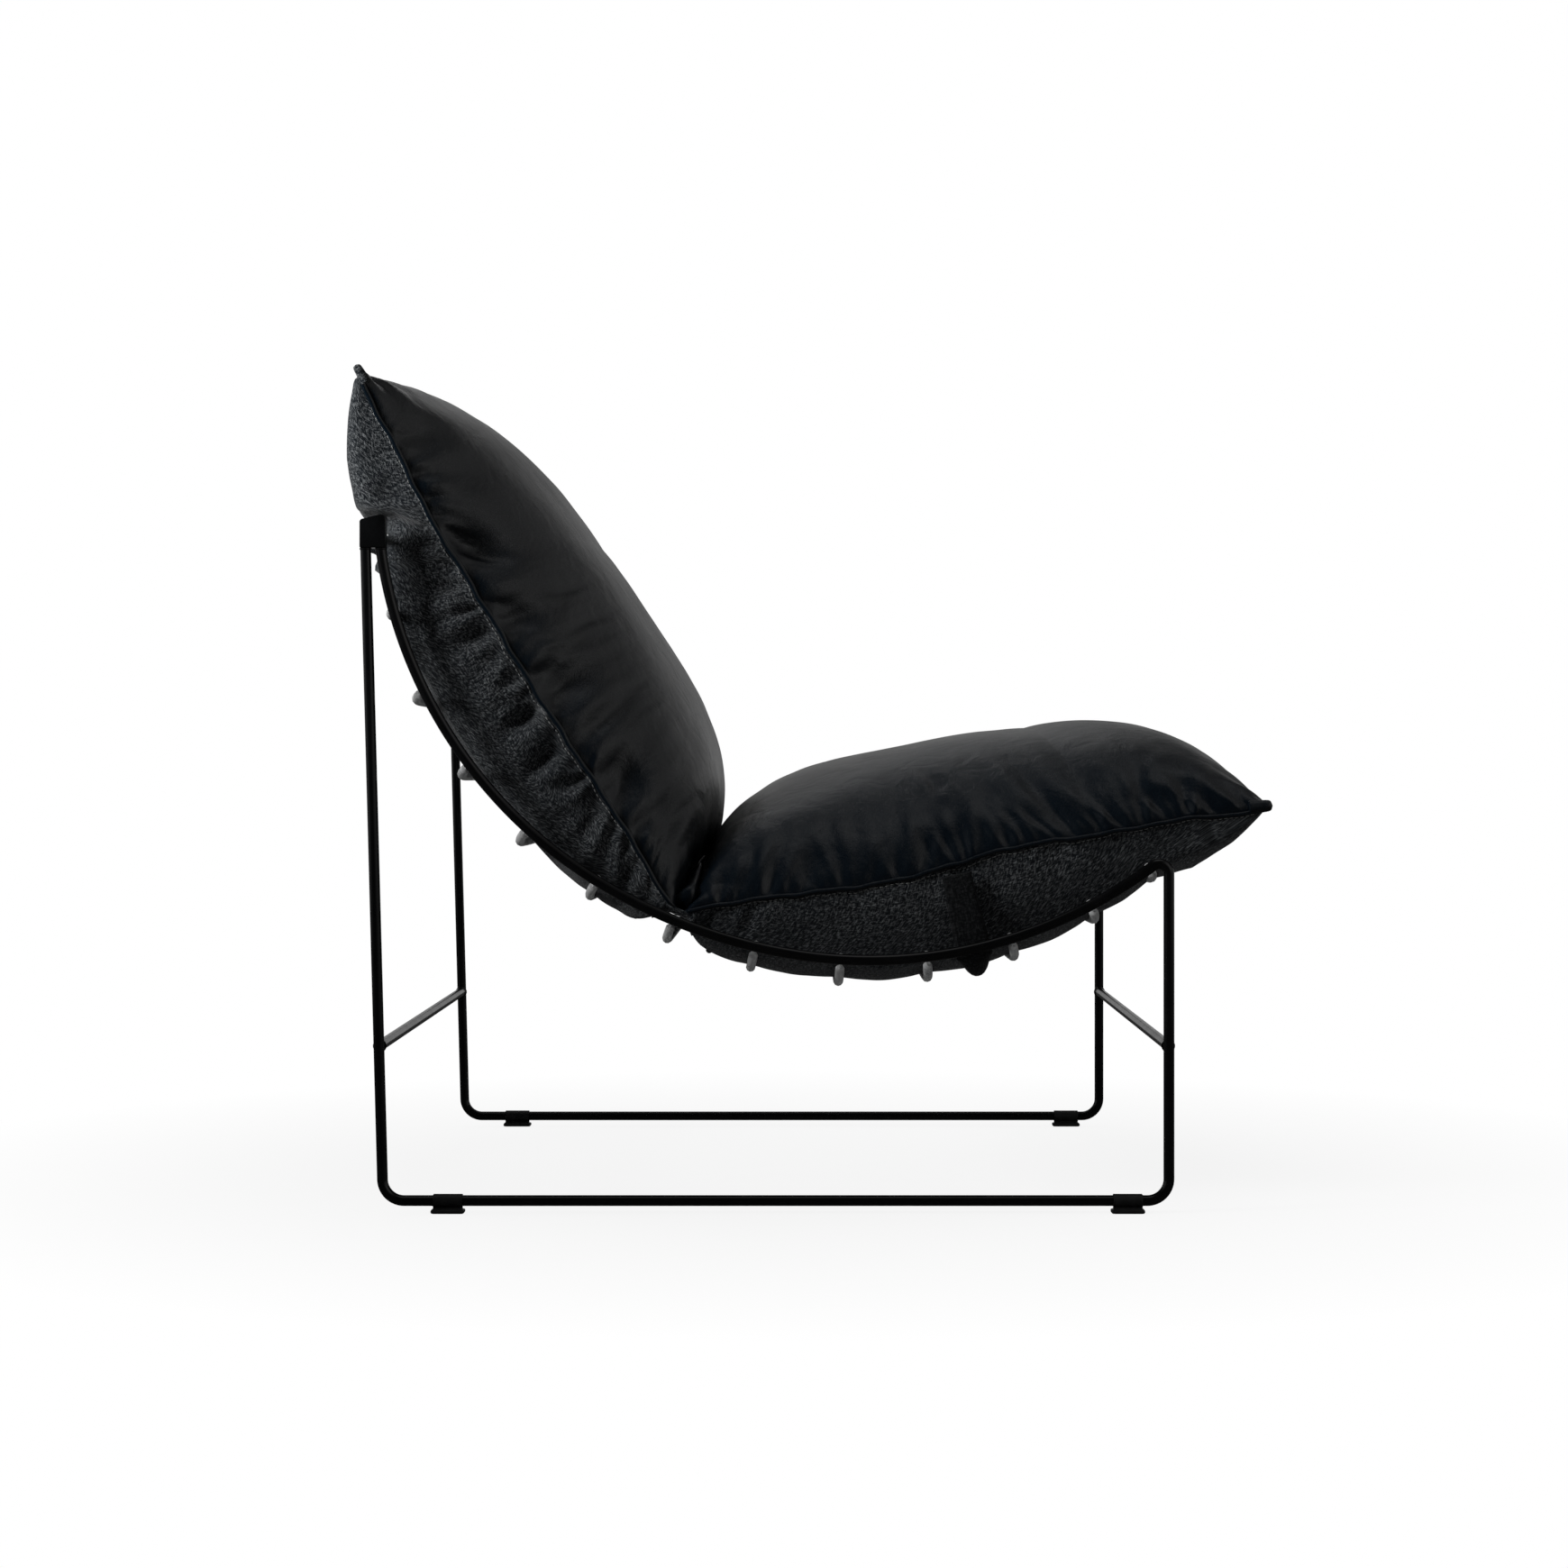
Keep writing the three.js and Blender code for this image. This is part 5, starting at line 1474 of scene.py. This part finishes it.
def side_strap(name, side, node):
    """A cloth strap down the cushion's side, looped round under the rail and tucked up again."""
    route = through(STRAP_ROUTE, np.linspace(0, len(STRAP_ROUTE) - 1, STRAP_STEPS + 1))
    tangent = np.gradient(route[:, :2], axis=0)
    tangent /= np.linalg.norm(tangent, axis=1, keepdims=True)
    shell = Shell()
    rings = []
    wide_steps = 9
    shares = [-1 + 2 * k / (wide_steps - 1) for k in range(wide_steps)]
    around = [(share, 1) for share in shares] + [(share, -1) for share in reversed(shares)]
    for (inside, rise, width), (t_in, t_rise) in zip(route, tangent):
        hanging = min(max((-0.008 - rise) / 0.012, 0.0), 1.0)
        ring = []
        for share, face in around:
            edge = 1 - 0.55 * max(abs(share) - 0.85, 0) / 0.15
            off = face * STRAP_THICK * edge - 0.0006 * share * share
            x = RAIL_INSIDE - max(inside + t_rise * off, 0.0005)
            lifted = rise - t_in * off + 0.0105 * hanging * abs(share) ** 2.4
            ring.append(sling_point(side * x, STRAP_AT + share * STRAP_HALF * width, lifted))
        rings.append(ring)
    shell.rings(rings)
    piece = shell.object(name, STRAP_CLOTH)
    ring_uv(piece, 2 * wide_steps, 0.0025, 2 * STRAP_HALF / wide_steps)
    return place(piece, "charcoal_fabric", node)


def row_near_end(grid, distance, last):
    """The row of a grid whose middle lies this far from the grid's last or first row."""
    middle = grid[:, grid.shape[1] // 2]
    run = run_along(middle[::-1] if last else middle)
    row = int(np.argmin(np.abs(run - distance)))
    return grid.shape[0] - 1 - row if last else row


def crease_join(back_belly, back_normals, seat_belly, seat_normals):
    """The strip sewn across under the crease, from one pillow's belly to the other's."""
    lift = 0.0009
    edge = 2
    steps = (0.026, 0.017, 0.009)
    rows = []
    for distance in steps:
        row = row_near_end(back_belly, distance, True)
        rows.append(back_belly[row] + back_normals[row] * lift)
    for distance in reversed(steps):
        row = row_near_end(seat_belly, distance, False)
        rows.append(seat_belly[row] + seat_normals[row] * lift)
    table = np.array(rows)[:, edge:-edge]
    columns = table.shape[1]
    at = np.linspace(0, len(table) - 1, 26)
    points = through(table.reshape(len(table), -1), at).reshape(len(at), columns, 3)
    piece = new_object("crease_join", points.reshape(-1, 3), grid_faces(len(at), columns, False), FABRIC)
    put_uv(piece, points)
    thicken(piece, JOIN_THICK, 0)
    return place(piece, "charcoal_fabric", "crease_strip")


def crease_fold():
    """The folded leather that stands in the crease between the pillows."""
    fold = Shell()
    rings = []
    reach = CUSHION_HALF - 0.006
    foot = 0.008
    foot_inside = 0.0066
    wall = 0.002
    for x in np.linspace(-reach, reach, 141):
        edge = min((reach - abs(x)) / 0.05, 1.0)
        height = 0.030 + 0.030 * edge + 0.004 * math.sin(x * 55) + 0.002 * math.sin(x * 131 + 1)
        lean = 0.0025 * math.sin(x * 37 + 0.6)
        wide = 1 + 0.8 * min(max((abs(x) - 0.27) / 0.05, 0.0), 1.0)
        section = (
            (-0.0052, 0.0), (-0.0056, 0.3), (-0.0040 + lean * 0.6, 0.74), (lean, 1.0),
            (0.0040 + lean * 0.6, 0.76), (0.0054, 0.3), (0.0052, 0.0),
        )
        ring = []
        for a, share in section:
            ring.append(sling_point(x, CREASE_PLACE + a * wide, foot + (height - foot) * share))
        for a, share in reversed(section):
            rise = foot_inside + (height - wall - foot_inside) * share
            ring.append(sling_point(x, CREASE_PLACE + a * wide * 0.72, rise))
        rings.append(ring)
    fold.rings(rings)
    flap = fold.object("crease_leather", LEATHER)
    smooth = flap.modifiers.new("smooth", "SUBSURF")
    smooth.levels = 1
    apply_modifiers(flap)
    return place(flap, "black_leather")


def corner_tab(name, corner, direction, reach_in, reach_out, half_tall, half_thick, finish, slot):
    """The turned-in corner of a cover: a small flattened stub that stands out of the seam."""
    axis = np.array(direction, float)
    axis /= np.linalg.norm(axis)
    right = np.array([1.0, 0.0, 0.0])
    upright = np.cross(axis, right)
    inset = max(abs(corner[0]) + half_thick - PIPING_LIMIT, 0)
    start = corner - right * math.copysign(inset, corner[0])
    length = reach_in + reach_out
    shell = Shell()
    rings = []
    steps = 16
    sides = 20
    for t in spaced(0, 1, steps):
        end = max((t - 0.66) / 0.34, 0)
        size = math.sqrt(max(1 - end ** 5, 0.01)) * (1.18 - 0.3 * t)
        middle = start + axis * (length * t - reach_in)
        ring = []
        for angle in spaced(0, 2 * math.pi, sides)[:-1]:
            tall = half_tall * size * math.copysign(abs(math.cos(angle)) ** 0.9, math.cos(angle))
            thick = half_thick * size * math.copysign(abs(math.sin(angle)) ** 0.9, math.sin(angle))
            ring.append(middle + upright * tall + right * thick)
        rings.append(ring)
    shell.rings(rings)
    piece = shell.object(name, finish)
    ring_uv(piece, sides, length / steps, half_tall * 4 / sides)
    return place(piece, slot)


# Corner stubs: the row of the grid, direction, reach in and out, half height, half thickness, finish.
TABS = {
    "back": (0, (0.0, 0.52, 0.86), 0.013, 0.0064, 0.0044, 0.0056, FABRIC, "charcoal_fabric"),
    "seat": (-1, (0.0, -1.0, 0.10), 0.020, 0.0022, 0.0058, 0.0066, LEATHER, "black_leather"),
}
STITCH_INSET = 0.0042


def dress_pillow(name, pillow):
    """All the pieces of one pillow; gives back its belly and the belly's normals."""
    top, belly = pillow_faces(name, pillow)
    tab_row, *tab_facts = TABS[name]
    for side_name, column in (("right", 0), ("left", -1)):
        corner_tab(f"{name}_corner_{side_name}", top[tab_row, column], *tab_facts)
    panel(f"{name}_leather", top, "top", LEATHER, "black_leather")
    panel(f"{name}_fabric", belly, "belly", FABRIC, "charcoal_fabric")
    seam_piping(f"{name}_seam_cord", top, belly, f"{name}_piping")
    spine = 0.5 * (top[:, top.shape[1] // 2] + belly[:, belly.shape[1] // 2])

    def core_near(point):
        """The point of the pillow's middle line that a point on its cover lies over."""
        nearest = spine[np.argmin(np.sum((spine[:, 1:] - point[1:]) ** 2, axis=1))]
        return np.array([point[0] * 0.8, nearest[1], nearest[2]])

    stitches(f"{name}_seam_stitches", beside_rim(belly, STITCH_INSET), core_near)
    filling(f"{name}_wadding", top, belly, f"{name}_filling")
    zip_row(f"{name}_zip_tape", belly, f"{name}_zip")
    return belly, outward_normals(belly, top)


back_parts = dress_pillow("back", PILLOWS["back"])
seat_parts = dress_pillow("seat", PILLOWS["seat"])
hanging_sleeve()
crease_join(*back_parts, *seat_parts)
crease_fold()
for side_name, side_sign in SIDES.items():
    side_strap(f"side_strap_{side_name}", side_sign, f"cushion_strap_{side_name}")


# Camera at the photograph's viewpoint: square to the chair's side, low and close.
PHOTO_SIZE = 1740
FOCAL_PIXELS = 3500
AXIS_PIXEL = (896.0, 846.5)
CAMERA_PLACE = (-3.267, 0.0012, 0.41625)
SENSOR = 36.0


def photo_camera():
    """The camera level with the chair, with the picture's middle shifted as in the photograph."""
    data = bpy.data.cameras.new("camera")
    data.sensor_width = SENSOR
    data.lens = FOCAL_PIXELS / PHOTO_SIZE * SENSOR
    data.shift_x = -(AXIS_PIXEL[0] - PHOTO_SIZE / 2) / PHOTO_SIZE
    data.shift_y = (AXIS_PIXEL[1] - PHOTO_SIZE / 2) / PHOTO_SIZE
    camera = bpy.data.objects.new("camera", data)
    camera.location = CAMERA_PLACE
    camera.rotation_euler = (math.pi / 2, 0, -math.pi / 2)
    bpy.context.scene.collection.objects.link(camera)
    bpy.context.scene.camera = camera


photo_camera()


# Studio: a pale floor that keeps the shadow, a white background and soft lamps.
FLOOR_HALF = 6.0


def studio_floor():
    """White to the camera with the chair's shadow on it; painted dark for glossy rays, a painted shade in
    the leather's reflections of it.
    """
    made, tree, shader, spot = begun("studio_floor")
    fix(shader, Roughness=0.85, Specular_IOR_Level=0.1)
    distance = add_node(tree, "VectorMath", {0: spot}, operation="LENGTH").outputs["Value"]
    away = map_range(tree, distance, (0.4, 1.0), (0.87, 1.0))
    path = add_node(tree, "LightPath", {})
    # Painted shade in reflections: the floor's colour falls from 0.85 to 0.08 where glossy rays see it.
    tint(tree, shader, path.outputs["Is Glossy Ray"], (0.85, 0.85, 0.85), (0.08, 0.08, 0.08))
    factor = math_node(tree, "MULTIPLY", away, path.outputs["Is Camera Ray"])
    glow = add_node(tree, "Emission", {"Color": (1, 1, 1, 1)})
    mix = add_node(tree, "MixShader", {0: factor, 1: shader.outputs[0], 2: glow.outputs[0]})
    tree.links.new(mix.outputs[0], tree.nodes["Material Output"].inputs["Surface"])
    places = spaced(-FLOOR_HALF, FLOOR_HALF, 8)
    verts = [(x, y, 0.0) for y in places for x in places]
    floor = new_object("studio_floor", verts, grid_faces(len(places), len(places), False), made)


# How bright the world is over the directions in space: axis, from and to, for reflections and for
# the light that falls on the chair.
MIRRORED = (
    ("X", (0.75, 0.99), (0.015, 0.40)), ("Z", (0.90, 1.0), (0.0, 0.70)),
    ("Y", (-0.2, -0.9), (0.0, 0.34)), ("Y", (0.72, 1.0), (0.0, 0.45)),
)
FALLING = (("Z", (0.0, 0.9), (0.12, 0.62)), ("Y", (0.0, 0.9), (0.0, 0.55)))


def studio_world():
    """White behind the chair for the camera; in reflections, brighter behind, above, in front and at the
    rear; softer light all round.
    """
    world = bpy.data.worlds.new("studio")
    bpy.context.scene.world = world
    world.use_nodes = True
    tree = world.node_tree
    path = add_node(tree, "LightPath", {}).outputs
    direction = add_node(tree, "TexCoord", {}).outputs["Generated"]
    axes = add_node(tree, "SeparateXYZ", {0: direction}).outputs

    def summed(rows):
        """What each direction gets from all of the rows."""
        total = 0.0
        for axis, source, target in rows:
            total = math_node(tree, "ADD", total, map_range(tree, axes[axis], source, target))
        return total

    glossy = path["Is Glossy Ray"]
    seen = math_node(tree, "MAXIMUM", path["Is Camera Ray"], path["Is Transmission Ray"])
    lit = math_node(tree, "MAXIMUM", seen, math_node(tree, "MULTIPLY", glossy, summed(MIRRORED)))
    away = map_range(tree, axes["X"], (-0.6, 0.5), (0.07, 1.0))
    level = math_node(tree, "MULTIPLY", away, summed(FALLING))
    ambient = math_node(tree, "MULTIPLY", math_node(tree, "SUBTRACT", 1.0, glossy), level)
    back = tree.nodes["Background"]
    back.inputs["Color"].default_value = (1, 1, 1, 1)
    tree.links.new(math_node(tree, "MAXIMUM", lit, ambient), back.inputs["Strength"])
    world.cycles.sampling_method = "NONE"


def soft_lamp(name, location, target, size, power, spread=180):
    """A soft box that points at the target."""
    data = bpy.data.lights.new(name, "AREA")
    data.spread = math.radians(spread)
    data.shape = "RECTANGLE"
    data.size, data.size_y = size
    data.energy = power
    lamp = bpy.data.objects.new(name, data)
    lamp.location = location
    direction = Vector(target) - Vector(location)
    lamp.rotation_euler = direction.to_track_quat("-Z", "Y").to_euler()
    bpy.context.scene.collection.objects.link(lamp)
    return lamp


studio_floor()
studio_world()
soft_lamp("overhead", (1.9, 0.6, 2.05), (0, 0.6, 0.4), size=(1.8, 0.26), power=2.5)
soft_lamp("front_left", (-1.9, -2.3, 1.7), (0, 0, 0.45), size=(1.5, 2.0), power=4.2)
rear_lamp = soft_lamp(
    "rear_left", (-0.9, 1.5, 1.1), (-0.34, 0.4, 1.0), size=(0.5, 0.5), power=12.5, spread=70
)
rear_lamp.visible_glossy = False

bpy.context.scene.view_settings.view_transform = "Standard"
